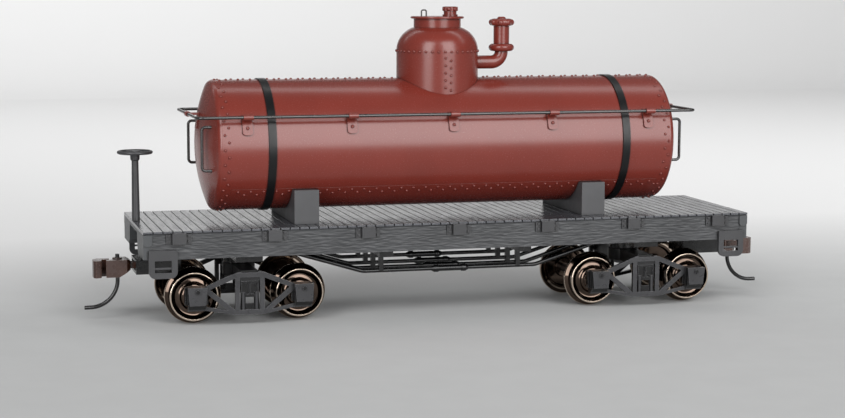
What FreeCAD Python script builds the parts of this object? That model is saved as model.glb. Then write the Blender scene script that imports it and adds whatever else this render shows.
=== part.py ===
import FreeCAD, Part
import math
import os
import Sketcher
from FreeCAD import Placement, Rotation, Vector

# Model tank wagon in 1:87 for 16.5 mm gauge track.
# Origin: on the ground under the middle of the wagon, at the bottom of the wheel flanges.
# +X runs along the wagon towards the end without the hand brake, +Y across it, +Z up.
# All lengths are in millimetres; heights are above the bottom of the flanges.

SIZES = [
    # alias, value, what it is
    ("deck_length", 123.2, "deck over the end beams"),
    ("deck_width", 32.2, "deck over the plank ends"),
    ("deck_top", 19.2, "height of the plank tops"),
    ("deck_thickness", 0.6, "plank thickness"),
    ("plank_count", 66, "planks across the deck"),
    ("groove_width", 0.22, "gap between planks"),
    ("groove_depth", 0.18, "depth of that gap"),
    ("sill_bottom", 13.8, "underside of the side sills"),
    ("sill_face", 15.85, "outer face of a side sill from the centre"),
    ("sill_thickness", 1.3, "side sill thickness"),
    ("end_beam_thickness", 1.6, "end beam along the wagon"),
    ("end_beam_bottom", 16.4, "foot of the tongues at the ends of the end beam"),
    ("end_web_height", 0.6, "web of the end beam over its recess"),
    ("end_plate_inner", 6.1, "inner edge of a corner plate from the centre"),
    ("floor_bottom", 16.2, "underside of the inner floor"),
    ("floor_thickness", 0.8, "inner floor thickness"),
    ("spine_bottom", 12.1, "underside of the centre sill"),
    ("spine_half", 2.4, "half width of the centre sill"),
    ("bolster_bottom", 12.3, "underside of a body bolster"),
    ("bolster_length", 25.0, "body bolster across the wagon"),
    ("bolster_width", 5.2, "body bolster along the wagon"),
    ("boss_radius", 3.0, "pivot boss under a body bolster"),
    ("boss_bottom", 10.7, "underside of the pivot boss"),
    ("ballast_length", 100.0, "steel ballast plate"),
    ("ballast_width", 22.0, "steel ballast plate"),
    ("pocket_pitch", 18.3, "stake pocket spacing"),
    ("pocket_middle", 17.8, "height of the middle of a stake pocket"),
    ("pocket_width", 2.6, "stake pocket block"),
    ("pocket_height", 2.1, "stake pocket block"),
    ("pocket_depth", 0.9, "stake pocket block, proud of the sill"),
    ("pocket_flange", 4.8, "stake pocket flange width"),
    ("flange_thickness", 0.25, "stake pocket flange"),
    ("step_middle", 57.95, "middle of a step stirrup from the wagon centre"),
    ("step_width", 5.4, "step stirrup"),
    ("step_bottom", 10.3, "underside of a step stirrup"),
    ("step_top", 15.6, "top of the plate that laps the sill"),
    ("step_thickness", 0.6, "step stirrup plate"),
    ("step_bar", 1.1, "width of the stirrup bars"),
    ("needle_spacing", 28.4, "needle beams, centre to centre"),
    ("needle_width", 2.7, "needle beam along the wagon"),
    ("needle_bottom", 12.6, "underside of the needle beams"),
    ("needle_half", 14.4, "half length of a needle beam"),
    ("rod_radius", 0.4, "truss rod"),
    ("rod_height", 9.2, "axis of the outer truss rods at mid span"),
    ("rod_drop", 0.35, "how much lower the inner rods run"),
    ("rod_knee", 17.9, "where the rods turn upwards"),
    ("rod_end", 38.1, "outer end of the rods"),
    ("rod_rise", 0.305, "slope of the outer part of the rods"),
    ("rod_outer", 9.7, "outer rods from the centre"),
    ("rod_inner", 3.25, "inner rods from the centre"),
    ("turnbuckle_length", 6.4, "turnbuckle with its nuts"),
    ("turnbuckle_radius", 0.6, "turnbuckle"),
    ("turnbuckle_taper", 0.6, "cone at each end of a turnbuckle"),
    ("tank_axis", 33.9, "height of the tank axis"),
    ("tank_radius", 12.8, "outside of the tank"),
    ("tank_wall", 1.1, "tank shell"),
    ("barrel_half", 45.9, "half length of the tank barrel"),
    ("head_apex", 49.1, "outermost point of a tank head"),
    ("head_dish", 32.0, "dish radius of a tank head"),
    ("head_knuckle", 1.2, "rounding of a tank head rim"),
    ("band_x", 36.2, "strap from the wagon centre"),
    ("band_width", 1.5, "strap"),
    ("band_thickness", 0.25, "strap"),
    ("saddle_x", 29.5, "middle of a saddle from the wagon centre"),
    ("saddle_length", 4.85, "saddle along the wagon"),
    ("saddle_half", 12.0, "half width of a saddle"),
    ("saddle_top", 25.8, "flat tops of a saddle beside the tank"),
    ("dome_radius", 8.25, "dome"),
    ("dome_wall", 1.2, "dome shell"),
    ("dome_shoulder", 52.1, "where the dome starts to close"),
    ("dome_curve", 4.9, "radius of the dome shoulder"),
    ("neck_radius", 4.75, "dome neck"),
    ("neck_top", 58.5, "top of the dome neck"),
    ("lid_radius", 5.4, "dome lid"),
    ("lid_thickness", 0.5, "dome lid"),
    ("lid_handle_x", -2.8, "handle on the lid"),
    ("lid_handle_top", 60.4, "top of the handle"),
    ("lid_valve_x", 2.7, "safety valve on the lid"),
    ("vent_height", 49.7, "axis of the vent pipe"),
    ("vent_x", 13.6, "axis of the vent riser"),
    ("vent_radius", 1.35, "vent pipe"),
    ("vent_bend", 2.5, "centre line radius of the vent elbow"),
    ("riser_radius", 1.6, "vent riser"),
    ("riser_bottom", 51.9, "underside of the lower vent flange"),
    ("riser_flange", 2.6, "radius of the vent flanges"),
    ("riser_flange_height", 1.5, "vent flanges"),
    ("riser_top", 57.0, "underside of the upper vent flange"),
    ("rail_half_length", 50.75, "handrail end rod from the centre"),
    ("rail_half_width", 13.3, "handrail side rod from the centre"),
    ("rail_height", 40.15, "handrail axis"),
    ("rail_radius", 0.3, "handrail rod"),
    ("rail_corner", 1.2, "handrail corner"),
    ("bracket_pitch", 20.5, "handrail brackets along the tank"),
    ("bracket_width", 1.9, "handrail bracket"),
    ("grab_x", 49.3, "grab iron bar from the centre"),
    ("grab_y", 9.0, "grab irons from the centre line"),
    ("grab_bottom", 29.7, "lower leg of a grab iron"),
    ("grab_top", 38.1, "upper leg of a grab iron"),
    ("grab_radius", 0.28, "grab iron rod"),
    ("truck_spacing", 81.8, "truck pivots, centre to centre"),
    ("wheelbase", 20.7, "axles of a truck"),
    ("flange_radius", 5.53, "wheel flange, so also the axle height"),
    ("tread_radius", 4.83, "wheel tread"),
    ("wheel_back", 7.2, "back of a wheel from the centre"),
    ("wheel_front", 10.0, "front of a wheel from the centre"),
    ("axle_radius", 0.9, "axle"),
    ("axle_shoulder", 11.6, "where the axle starts to taper"),
    ("axle_tip", 13.0, "end of the axle"),
    ("axle_tip_radius", 0.15, "axle point"),
    ("bearing_clearance", 0.06, "radial play of the axle points"),
    ("frame_inner", 12.1, "inner face of a side frame from the centre"),
    ("frame_outer", 12.9, "outer face of a side frame from the centre"),
    ("journal_inner", 11.5, "inner face of a journal box"),
    ("journal_outer", 14.6, "journal box lid"),
    ("journal_width", 3.4, "journal box"),
    ("journal_top", 7.95, "top of a journal box"),
    ("journal_bottom", 3.2, "underside of a journal box"),
    ("truck_bolster_bottom", 8.2, "truck bolster"),
    ("truck_bolster_top", 10.6, "truck bolster"),
    ("frame_top", 10.3, "top of a truck side frame"),
    ("truck_bolster_width", 3.4, "truck bolster along the wagon"),
    ("screw_radius", 1.0, "truck pivot screw"),
    ("pivot_clearance", 0.06, "radial play on a pivot"),
    ("coupler_post_x", 56.5, "coupler pivot from the wagon centre"),
    ("coupler_post_radius", 1.0, "coupler pivot post"),
    ("coupler_pin_x", 64.8, "knuckle pin from the wagon centre"),
    ("coupler_pin_radius", 0.4, "knuckle pin and its tail"),
    ("coupler_pin_top", 13.0, "top of the knuckle pin"),
    ("coupler_tail_x", 71.3, "end of the pin's tail"),
    ("coupler_tail_height", 2.6, "axis of the tail at its end"),
    ("coupler_tail_bend", 5.3, "radius of the tail"),
    ("head_bottom", 8.7, "coupler head"),
    ("head_top", 12.05, "coupler head"),
    ("slot_bottom", 9.7, "slot for the knuckle"),
    ("slot_top", 11.35, "slot for the knuckle"),
    ("shank_bottom", 10.15, "coupler shank"),
    ("shank_top", 11.35, "coupler shank"),
    ("shank_width", 1.8, "coupler shank"),
    ("box_back", 52.9, "draft box, inner end"),
    ("box_front", 61.6, "draft box, mouth"),
    ("box_half", 3.9, "half width of the draft box"),
    ("box_wall", 0.8, "draft box wall"),
    ("box_lid_bottom", 9.3, "underside of the draft box lid"),
    ("box_bottom", 9.9, "underside of the draft box"),
    ("box_roof", 11.6, "inside of the draft box roof"),
    ("brake_x", -60.9, "brake staff"),
    ("brake_y", 1.3, "brake staff"),
    ("brake_wheel_height", 32.7, "brake wheel rim"),
    ("brake_wheel_radius", 3.15, "brake wheel rim, centre line"),
    ("brake_staff_radius", 0.75, "brake staff"),
    ("brake_pin_radius", 0.45, "foot of the brake staff in the deck"),
]

doc = FreeCAD.newDocument("tank_wagon")
sheet = doc.addObject("Spreadsheet::Sheet", "Sizes")
for row, (alias, value, note) in enumerate(SIZES, start=1):
    sheet.set(f"A{row}", note)
    sheet.set(f"B{row}", str(value))
    sheet.setAlias(f"B{row}", alias)
doc.recompute()


class Size:
    """A length that knows its number and the expression that binds it to the sheet."""

    def __init__(self, value, text):
        self.value = value
        self.text = text

    def _join(self, other, sign, result):
        return Size(result, f"({self.text} {sign} {size(other).text})")

    def __add__(self, other):
        return self._join(other, "+", self.value + size(other).value)

    def __sub__(self, other):
        return self._join(other, "-", self.value - size(other).value)

    def __mul__(self, other):
        return self._join(other, "*", self.value * size(other).value)

    def __truediv__(self, other):
        return self._join(other, "/", self.value / size(other).value)

    def __radd__(self, other):
        return size(other) + self

    def __rsub__(self, other):
        return size(other) - self

    def __rmul__(self, other):
        return size(other) * self

    def __neg__(self):
        return Size(-self.value, f"(0 - {self.text})")


def size(value):
    """Any number as a Size."""
    if isinstance(value, Size):
        return value
    return Size(float(value), f"{float(value):.6f}")


def number(value):
    """The plain number of a Size or a number."""
    return size(value).value


class Sheet:
    """The sheet's aliases as attributes: s.deck_length is a Size."""

    def __getattr__(self, alias):
        return Size(float(sheet.get(alias)), f"Sizes.{alias}")


s = Sheet()
deck_bottom = s.deck_top - s.deck_thickness
floor_top = s.floor_bottom + s.floor_thickness
beam_inner = s.deck_length / 2 - s.end_beam_thickness
half_base = s.wheelbase / 2
pieces = []


# Helpers: each object's sizes stay bound to the sheet.

def bind(obj, prop, value):
    """Bind one property to the sheet, or set it where the value is a plain number."""
    if isinstance(value, Size):
        obj.setExpression(prop, value.text)
        return
    if "." not in prop:
        setattr(obj, prop, value)
        return
    obj.setExpression(prop, size(value).text)


def place(obj, x=0, y=0, z=0, axis=None, angle=0):
    """Give an object its place: a turn first, then bound coordinates."""
    turn = Rotation(Vector(*axis), angle) if axis else Rotation()
    obj.Placement = Placement(Vector(number(x), number(y), number(z)), turn)
    for prop, value in (("x", x), ("y", y), ("z", z)):
        if isinstance(value, Size):
            obj.setExpression(f"Placement.Base.{prop}", value.text)
    return obj


def box(name, length, width, height, x=0, y=0, z=0):
    """A box with its lowest corner at x, y, z."""
    obj = doc.addObject("Part::Box", name)
    bind(obj, "Length", length)
    bind(obj, "Width", width)
    bind(obj, "Height", height)
    return place(obj, x, y, z)


def block(name, x, y, z):
    """A box from (low, high) pairs."""
    return box(name, x[1] - x[0], y[1] - y[0], z[1] - z[0], x[0], y[0], z[0])


TO_X = ((0, 1, 0), 90)
TO_Y = ((1, 0, 0), -90)
TO_Z = (None, 0)


def cylinder(name, radius, height, x=0, y=0, z=0, towards=TO_Z):
    """A cylinder that starts at x, y, z and runs along +X, +Y or +Z."""
    obj = doc.addObject("Part::Cylinder", name)
    bind(obj, "Radius", radius)
    bind(obj, "Height", height)
    return place(obj, x, y, z, *towards)


def cone(name, radius1, radius2, height, x=0, y=0, z=0, towards=TO_Z):
    """A cone that starts at x, y, z and runs along +X, +Y or +Z."""
    obj = doc.addObject("Part::Cone", name)
    bind(obj, "Radius1", radius1)
    bind(obj, "Radius2", radius2)
    bind(obj, "Height", height)
    return place(obj, x, y, z, *towards)


def fuse(name, parts):
    obj = doc.addObject("Part::MultiFuse", name)
    obj.Shapes = list(parts)
    obj.Refine = True
    return obj


def cut(name, base, tools):
    tools = list(tools)
    tool = tools[0]
    if len(tools) > 1:
        tool = doc.addObject("Part::Compound", name + "_tools")
        tool.Links = tools
    obj = doc.addObject("Part::Cut", name)
    obj.Base = base
    obj.Tool = tool
    return obj


def group(name, parts):
    obj = doc.addObject("Part::Compound", name)
    obj.Links = list(parts)
    return obj


def mirror(name, source, normal):
    obj = doc.addObject("Part::Mirroring", name)
    obj.Source = source
    obj.Normal = Vector(*normal)
    return obj


def half_turn(name, source):
    """The same piece at the other end of the wagon, turned half round about Z."""
    obj = doc.addObject("Part::Compound", name)
    obj.Links = [source]
    obj.Placement = Placement(Vector(), Rotation(Vector(0, 0, 1), 180))
    return obj


def coded(name, shape):
    """A shape made with Part's own functions from the sheet's numbers."""
    obj = doc.addObject("Part::Feature", name)
    obj.Shape = shape
    obj.Placement = Placement()
    return obj


def shape_of(obj):
    doc.recompute()
    return obj.Shape


def copies(name, source, placements):
    """Separate copies of one piece, as one group."""
    base = shape_of(source)
    shapes = []
    for placement in placements:
        shape = base.copy()
        shape.Placement = placement.multiply(shape.Placement)
        shapes.append(shape)
    return coded(name, Part.makeCompound(shapes))


def node(name, obj):
    """Mark an object as a finished piece: its label names its file."""
    obj.Label = name
    pieces.append(obj)
    return obj


# Sketches: each corner is pinned to the origin by two bound distances.

def corner(x, y, radius=None, turn=1):
    """A corner. With a radius, the side that ends here is an arc; turn is 1 for anticlockwise."""
    return size(x), size(y), radius, turn


def arc_between(start, end, radius, turn):
    """The shorter arc from start to end, as a centre with the angles at its ends."""
    chord = end - start
    middle = start + chord * 0.5
    rise = math.sqrt(max(radius ** 2 - (chord.Length / 2) ** 2, 0.0))
    normal = Vector(-chord.y, chord.x, 0)
    normal.normalize()
    centre = middle + normal * (rise * turn)
    first = math.atan2(start.y - centre.y, start.x - centre.x)
    last = math.atan2(end.y - centre.y, end.x - centre.x)
    return (centre, first, last) if turn > 0 else (centre, last, first)


def sketch_on(body, name, role, offset=0):
    """A sketch on one of the body's own origin planes."""
    sketch = body.newObject("Sketcher::SketchObject", name)
    plane = next(item for item in body.Origin.OriginFeatures if item.Role == role)
    sketch.AttachmentSupport = [(plane, "")]
    sketch.MapMode = "FlatFace"
    if isinstance(offset, Size):
        sketch.AttachmentOffset = Placement(Vector(0, 0, offset.value), Rotation())
        sketch.setExpression("AttachmentOffset.Base.z", offset.text)
    return sketch


def pin(sketch, geometry, point, axis, value):
    """Pin one coordinate of a point to the origin."""
    if abs(value.value) < 1e-9:
        line = -2 if axis == "X" else -1
        sketch.addConstraint(Sketcher.Constraint("PointOnObject", geometry, point, line))
        return
    rule = Sketcher.Constraint("Distance" + axis, -1, 1, geometry, point, value.value)
    index = sketch.addConstraint(rule)
    sketch.setExpression(f"Constraints[{index}]", value.text)


def draw(sketch, corners):
    """A closed outline through the corners."""
    ends = []
    count = len(corners)
    for index in range(count):
        x1, y1 = (number(item) for item in corners[index - 1][:2])
        x2, y2, radius, turn = corners[index]
        start = Vector(x1, y1, 0)
        end = Vector(x2.value, y2.value, 0)
        if radius is None:
            geometry = sketch.addGeometry(Part.LineSegment(start, end), False)
            ends.append((geometry, 1, 2))
            continue
        centre, first, last = arc_between(start, end, number(radius), turn)
        circle = Part.Circle(centre, Vector(0, 0, 1), number(radius))
        geometry = sketch.addGeometry(Part.ArcOfCircle(circle, first, last), False)
        ends.append((geometry, 1, 2) if turn > 0 else (geometry, 2, 1))
        rule = sketch.addConstraint(Sketcher.Constraint("Radius", geometry, number(radius)))
        sketch.setExpression(f"Constraints[{rule}]", size(radius).text)
    for index in range(count):
        geometry, _, last = ends[index]
        following, first, _ = ends[(index + 1) % count]
        sketch.addConstraint(Sketcher.Constraint("Coincident", geometry, last, following, first))
        pin(sketch, geometry, last, "X", corners[index][0])
        pin(sketch, geometry, last, "Y", corners[index][1])


def new_body(name):
    return doc.addObject("PartDesign::Body", name)


def pad(body, name, role, corners, start, length):
    """Pad an outline from a height above its plane; XZ outlines count along -Y."""
    sketch = sketch_on(body, name + "_outline", role, size(start))
    draw(sketch, corners)
    feature = body.newObject("PartDesign::Pad", name)
    feature.Profile = sketch
    bind(feature, "Length", size(length))
    return feature


def pocket(body, name, role, corners, start, length):
    """Cut an outline out, from a height above its plane downwards."""
    before = shape_of(body).Volume
    sketch = sketch_on(body, name + "_outline", role, size(start))
    draw(sketch, corners)
    feature = body.newObject("PartDesign::Pocket", name)
    feature.Profile = sketch
    bind(feature, "Length", size(length))
    if shape_of(body).Volume > before - 1e-6:
        raise RuntimeError(name + " cuts nothing")
    return feature


def turned(name, role, corners, axis):
    """A body of revolution about the sketch's V_Axis or H_Axis."""
    body = new_body(name)
    sketch = sketch_on(body, name + "_outline", role)
    draw(sketch, corners)
    feature = body.newObject("PartDesign::Revolution", name + "_turn")
    feature.Profile = sketch
    feature.ReferenceAxis = (sketch, [axis])
    feature.Angle = 360
    return body


def rectangle(x, y):
    """The four corners of a rectangle from (low, high) pairs."""
    return [corner(x[0], y[0]), corner(x[1], y[0]), corner(x[1], y[1]), corner(x[0], y[1])]


def rod(points, radius, bend=None, closed=False):
    """A round rod along straight runs that tangent arcs join."""
    points = [Vector(*(number(v) for v in point)) for point in points]
    count = len(points)
    starts = []
    for index, point in enumerate(points):
        if not closed and index in (0, count - 1):
            starts.append((point, point, None))
            continue
        back = (points[index - 1] - point).normalize()
        ahead = (points[(index + 1) % count] - point).normalize()
        half = back.getAngle(ahead) / 2
        reach = bend / math.tan(half)
        bisector = (back + ahead).normalize()
        middle = point + bisector * (bend / math.sin(half) - bend)
        starts.append((point + back * reach, point + ahead * reach, middle))
    edges = []
    for index in range(count):
        first, last, middle = starts[index]
        if middle is not None:
            edges.append(Part.Arc(first, middle, last).toShape())
        if closed or index < count - 1:
            edges.append(Part.LineSegment(last, starts[(index + 1) % count][0]).toShape())
    path = Part.Wire(edges)
    direction = path.Edges[0].tangentAt(path.Edges[0].FirstParameter)
    begin = path.Edges[0].valueAt(path.Edges[0].FirstParameter)
    ring = Part.Wire([Part.Circle(begin, direction, number(radius)).toShape()])
    return path.makePipeShell([ring], True, False)


# Deck and frame

def make_deck():
    body = new_body("deck_body")
    half_x = s.deck_length / 2
    half_y = s.deck_width / 2
    pad(body, "deck_plate", "XY_Plane", rectangle((-half_x, half_x), (-half_y, half_y)),
        deck_bottom, s.deck_thickness)
    pitch = s.deck_length / s.plank_count
    first = pitch - half_x
    groove = pocket(body, "plank_gap", "XY_Plane",
                    rectangle((first - s.groove_width / 2, first + s.groove_width / 2),
                              (-half_y - 1, half_y + 1)),
                    s.deck_top, s.groove_depth)
    pattern = body.newObject("PartDesign::LinearPattern", "plank_gaps")
    pattern.Originals = [groove]
    x_axis = next(item for item in body.Origin.OriginFeatures if item.Role == "X_Axis")
    pattern.Direction = (x_axis, [""])
    bind(pattern, "Length", pitch * (s.plank_count - 2))
    pattern.Occurrences = int(number(s.plank_count)) - 1
    body.Tip = pattern
    holes = [cylinder("staff_hole_deck", s.brake_pin_radius + s.pivot_clearance, 3,
                      s.brake_x, s.brake_y, s.deck_top - 2)]
    holes += tank_screw_holes("deck")
    node("deck", cut("deck", body, holes))


def tank_screw_places():
    for end in (-1, 1):
        for side in (-1, 1):
            yield s.saddle_x * end, side * 6.0


def tank_screw_holes(name):
    """Clear cylinders where the tank screws pass."""
    for index, (x, y) in enumerate(tank_screw_places()):
        yield cylinder(f"{name}_screw_hole_{index}", 0.7, 12, x, y, 11)


def make_sills():
    for name, side in (("front", -1), ("rear", 1)):
        near = s.sill_face * side
        far = (s.sill_face - s.sill_thickness) * side
        y = (near, far) if side < 0 else (far, near)
        node("side_sill_" + name, block("side_sill_" + name, (-beam_inner, beam_inner), y,
                                        (s.sill_bottom, deck_bottom)))


def end_tongue(side):
    """The end of the beam that laps the side sill: a tongue with a rounded foot."""
    body = new_body(f"end_tongue_body_{side + 1}")
    inner = beam_inner - 0.1
    outer = s.deck_length / 2
    low = s.end_beam_bottom
    curve = 0.7
    outline = [corner(inner, deck_bottom), corner(inner, low + curve),
               corner(inner + curve, low, curve, 1), corner(outer - curve, low),
               corner(outer, low + curve, curve, 1), corner(outer, deck_bottom)]
    start = s.sill_face if side < 0 else -s.deck_width / 2
    pad(body, f"end_tongue_{side + 1}", "XZ_Plane", outline, start, s.deck_width / 2 - s.sill_face)
    return body


def make_end_beams():
    """Two corner plates that a thin web joins over the recess for the coupler."""
    half = s.sill_face
    low = s.sill_bottom + 0.1
    web = deck_bottom - s.end_web_height
    inner = s.end_plate_inner
    body = new_body("end_beam_body")
    corners = [corner(-half, deck_bottom), corner(-half, low), corner(-inner - 1.7, low),
               corner(-inner - 0.6, low + 1.0), corner(-inner, web), corner(inner, web),
               corner(inner + 0.6, low + 1.0), corner(inner + 1.7, low), corner(half, low),
               corner(half, deck_bottom)]
    pad(body, "end_beam_plate", "YZ_Plane", corners, beam_inner, s.end_beam_thickness)
    whole = fuse("end_beam_whole", [body, end_tongue(-1), end_tongue(1)])
    node("end_beam_right", half_turn("end_beam_right", half_turn("end_beam_turned", whole)))
    hole = cylinder("staff_hole_beam", s.brake_pin_radius + s.pivot_clearance, 4,
                    s.brake_x, s.brake_y, s.end_beam_bottom)
    node("end_beam_left", cut("end_beam_left", half_turn("end_beam_back", whole), [hole]))


def make_underframe():
    half_y = s.sill_face - s.sill_thickness
    parts = [block("inner_floor", (-beam_inner, beam_inner), (-half_y, half_y),
                   (s.floor_bottom, floor_top)),
             block("centre_sill", (-beam_inner, beam_inner), (-s.spine_half, s.spine_half),
                   (s.spine_bottom, s.floor_bottom))]
    holes = list(tank_screw_holes("floor"))
    for name, side in (("left", -1), ("right", 1)):
        wall = (beam_inner - 1, beam_inner) if side > 0 else (-beam_inner, 1 - beam_inner)
        parts.append(block("end_wall_" + name, wall, (-half_y, half_y), (floor_top, deck_bottom)))
        x = s.truck_spacing / 2 * side
        half = s.bolster_width / 2
        parts.append(block("body_bolster_" + name, (x - half, x + half),
                           (-s.bolster_length / 2, s.bolster_length / 2),
                           (s.bolster_bottom, s.floor_bottom)))
        parts.append(cylinder("boss_" + name, s.boss_radius, s.bolster_bottom - s.boss_bottom,
                              x, 0, s.boss_bottom))
        holes.append(cylinder("pivot_bore_" + name, s.screw_radius, s.floor_bottom - s.boss_bottom,
                              x, 0, s.boss_bottom))
        holes.append(cylinder("coupler_bore_" + name, 0.5, s.floor_bottom - s.spine_bottom,
                              s.coupler_post_x * side, 0, s.spine_bottom))
    node("underframe", cut("underframe", fuse("underframe_whole", parts), holes))


def make_ballast():
    plate = block("ballast_plate", (-s.ballast_length / 2, s.ballast_length / 2),
                  (-s.ballast_width / 2, s.ballast_width / 2), (floor_top, deck_bottom))
    node("ballast_weight", cut("ballast_weight", plate, tank_screw_holes("ballast")))


def make_stake_pockets():
    face = s.sill_face
    low = s.pocket_middle - s.pocket_height / 2
    parts = [block("pocket_block", (-s.pocket_width / 2, s.pocket_width / 2),
                   (face, face + s.pocket_depth), (low, low + s.pocket_height)),
             block("pocket_flange_plate", (-s.pocket_flange / 2, s.pocket_flange / 2),
                   (face, face + s.flange_thickness), (low, low + s.pocket_height))]
    across = (s.pocket_flange + s.pocket_width) / 4
    for index, (side, up) in enumerate([(-1, -1), (-1, 1), (1, -1), (1, 1)]):
        parts.append(cylinder(f"pocket_bolt_{index}", 0.24, s.flange_thickness + 0.2,
                              across * side, face, s.pocket_middle + 0.55 * up, TO_Y))
    edge = block("deck_edge_space", (-s.pocket_flange, s.pocket_flange),
                 (face, s.deck_width / 2), (deck_bottom, s.deck_top))
    pocket_piece = cut("stake_pocket", fuse("stake_pocket_whole", parts), [edge])
    places = []
    for turn in (0, 180):
        for index in range(-3, 4):
            x = number(s.pocket_pitch) * index
            places.append(Placement(Vector(x, 0, 0), Rotation(Vector(0, 0, 1), turn)))
    node("stake_pockets", copies("stake_pockets", pocket_piece, places))


def make_steps():
    body = new_body("step_body")
    half = s.step_width / 2
    low = s.step_bottom
    inner = half - s.step_bar
    outline = [corner(-half, s.step_top), corner(-half, low + 1.3),
               corner(1.3 - half, low, 1.3), corner(half - 1.3, low),
               corner(half, low + 1.3, 1.3), corner(half, s.step_top)]
    pad(body, "step_plate", "XZ_Plane", outline, -(s.sill_face + s.step_thickness),
        s.step_thickness)
    window = rectangle((-inner, inner), (low + s.step_bar, s.sill_bottom - 0.1))
    pocket(body, "step_window", "XZ_Plane", window, -s.sill_face, s.step_thickness)
    rung = block("step_rung", (-inner - 0.1, inner + 0.1),
                 (s.sill_face + 0.1, s.sill_face + 0.5), (low + 1.75, low + 2.1))
    step = fuse("step_stirrup", [body, rung])
    places = []
    for turn in (0, 180):
        for side in (-1, 1):
            x = number(s.step_middle) * side
            places.append(Placement(Vector(x, 0, 0), Rotation(Vector(0, 0, 1), turn)))
    node("step_stirrups", copies("step_stirrups", step, places))


# Truss rods under the frame

def rod_lines():
    """Each truss rod's distance from the centre line and its height at mid span."""
    for y, height in ((s.rod_outer, s.rod_height), (s.rod_inner, s.rod_height - s.rod_drop)):
        for side in (-1, 1):
            yield number(y) * side, height


def truss_rod(y, height):
    low = number(height)
    knee = number(s.rod_knee)
    end = number(s.rod_end)
    top = low + number(s.rod_rise) * (end - knee)
    points = [(-end, y, top), (-knee, y, low), (knee, y, low), (end, y, top)]
    return rod(points, s.rod_radius, bend=4.0)


def queen_post(name, x, y, height):
    """A square post from a needle beam down to its rod, bored for the rod."""
    half = 0.45
    post = box(name + "_blank", 2 * half, 2 * half, s.needle_bottom - height, x - half, y - half,
               height)
    hole = cylinder(name + "_hole", s.rod_radius, 2, x - 1, y, height, TO_X)
    return cut(name, post, [hole])


def turnbuckle(name, y, height):
    """A barrel between two nuts that taper down to the rod."""
    half = s.turnbuckle_length / 2
    nut = s.turnbuckle_radius + 0.15
    taper = s.turnbuckle_taper
    thin = s.rod_radius + 0.05
    parts = [cylinder(name + "_barrel", s.turnbuckle_radius, s.turnbuckle_length, -half, y,
                      height, TO_X),
             cylinder(name + "_nut_0", nut, 0.8, -half, y, height, TO_X),
             cylinder(name + "_nut_1", nut, 0.8, half - 0.8, y, height, TO_X),
             cone(name + "_taper_0", thin, nut, taper, -half - taper, y, height, TO_X),
             cone(name + "_taper_1", nut, thin, taper, half, y, height, TO_X)]
    hole = cylinder(name + "_hole", s.rod_radius, s.turnbuckle_length + 4, -half - 2, y, height,
                    TO_X)
    return cut(name, fuse(name + "_whole", parts), [hole])


def make_truss():
    beams = []
    posts = []
    half = s.needle_width / 2
    for index, side in enumerate((-1, 1)):
        x = s.needle_spacing / 2 * side
        for part, (low, high) in enumerate([(-s.needle_half, -s.spine_half),
                                            (s.spine_half, s.needle_half)]):
            beams.append(block(f"needle_beam_{index}_{part}", (x - half, x + half), (low, high),
                               (s.needle_bottom, s.floor_bottom)))
        for line, (y, height) in enumerate(rod_lines()):
            posts.append(queen_post(f"queen_post_{line}_{index}", x, y, height))
    buckles = [turnbuckle(f"turnbuckle_{line}", y, height)
               for line, (y, height) in enumerate(rod_lines())]
    rods = [truss_rod(y, height) for y, height in rod_lines()]
    node("needle_beams", group("needle_beams", beams))
    node("truss_rods", coded("truss_rods", Part.makeCompound(rods)))
    node("queen_posts", group("queen_posts", posts))
    node("turnbuckles", group("turnbuckles", buckles))


# Tank

def make_barrel():
    half = s.barrel_half
    inner = s.tank_radius - s.tank_wall
    corners = [corner(-half, inner), corner(half, inner), corner(half, s.tank_radius),
               corner(-half, s.tank_radius)]
    barrel = turned("barrel", "XZ_Plane", corners, "H_Axis")
    place(barrel, 0, 0, s.tank_axis)
    node("tank_barrel", barrel)


def make_heads():
    """A dished end with a rounded rim and a spigot that fits inside the barrel."""
    rim = s.barrel_half
    inner = s.tank_radius - s.tank_wall
    dish = number(s.head_dish)
    dish_end = 12.15
    reach = number(s.head_apex) - dish + math.sqrt(dish ** 2 - dish_end ** 2)
    corners = [corner(rim - 2.5, inner - 1), corner(s.head_apex - 2.0, 0.0),
               corner(s.head_apex, 0.0), corner(reach, dish_end, s.head_dish, 1),
               corner(rim, s.tank_radius, s.head_knuckle, 1), corner(rim, inner),
               corner(rim - 2.5, inner)]
    head = turned("head", "XZ_Plane", corners, "H_Axis")
    place(head, 0, 0, s.tank_axis)
    node("tank_head_right", head)
    node("tank_head_left", mirror("tank_head_left", head, (1, 0, 0)))


def make_bands():
    outer = s.tank_radius + s.band_thickness
    for name, side in (("left", -1), ("right", 1)):
        x = s.band_x * side
        half = s.band_width / 2
        corners = [corner(x - half, s.tank_radius), corner(x + half, s.tank_radius),
                   corner(x + half, outer), corner(x - half, outer)]
        band = turned("band_" + name, "XZ_Plane", corners, "H_Axis")
        place(band, 0, 0, s.tank_axis)
        node("tank_band_" + name, band)


def tank_space(name):
    """The outside of the barrel, to shape what lies on it."""
    return cylinder(name, s.tank_radius, s.barrel_half * 2, -s.barrel_half, 0, s.tank_axis, TO_X)


def make_saddles():
    for name, side in (("left", -1), ("right", 1)):
        x = s.saddle_x * side
        half = s.saddle_length / 2
        blank = block("saddle_blank_" + name, (x - half, x + half),
                      (-s.saddle_half, s.saddle_half), (s.deck_top, s.saddle_top))
        tools = [tank_space("tank_space_" + name)]
        for index in (0, 1):
            y = 6.0 * (2 * index - 1)
            tools.append(cylinder(f"saddle_hole_{name}_{index}", 0.7, 2.6, x, y,
                                  s.deck_top))
        node("saddle_" + name, cut("saddle_" + name, blank, tools))


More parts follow.
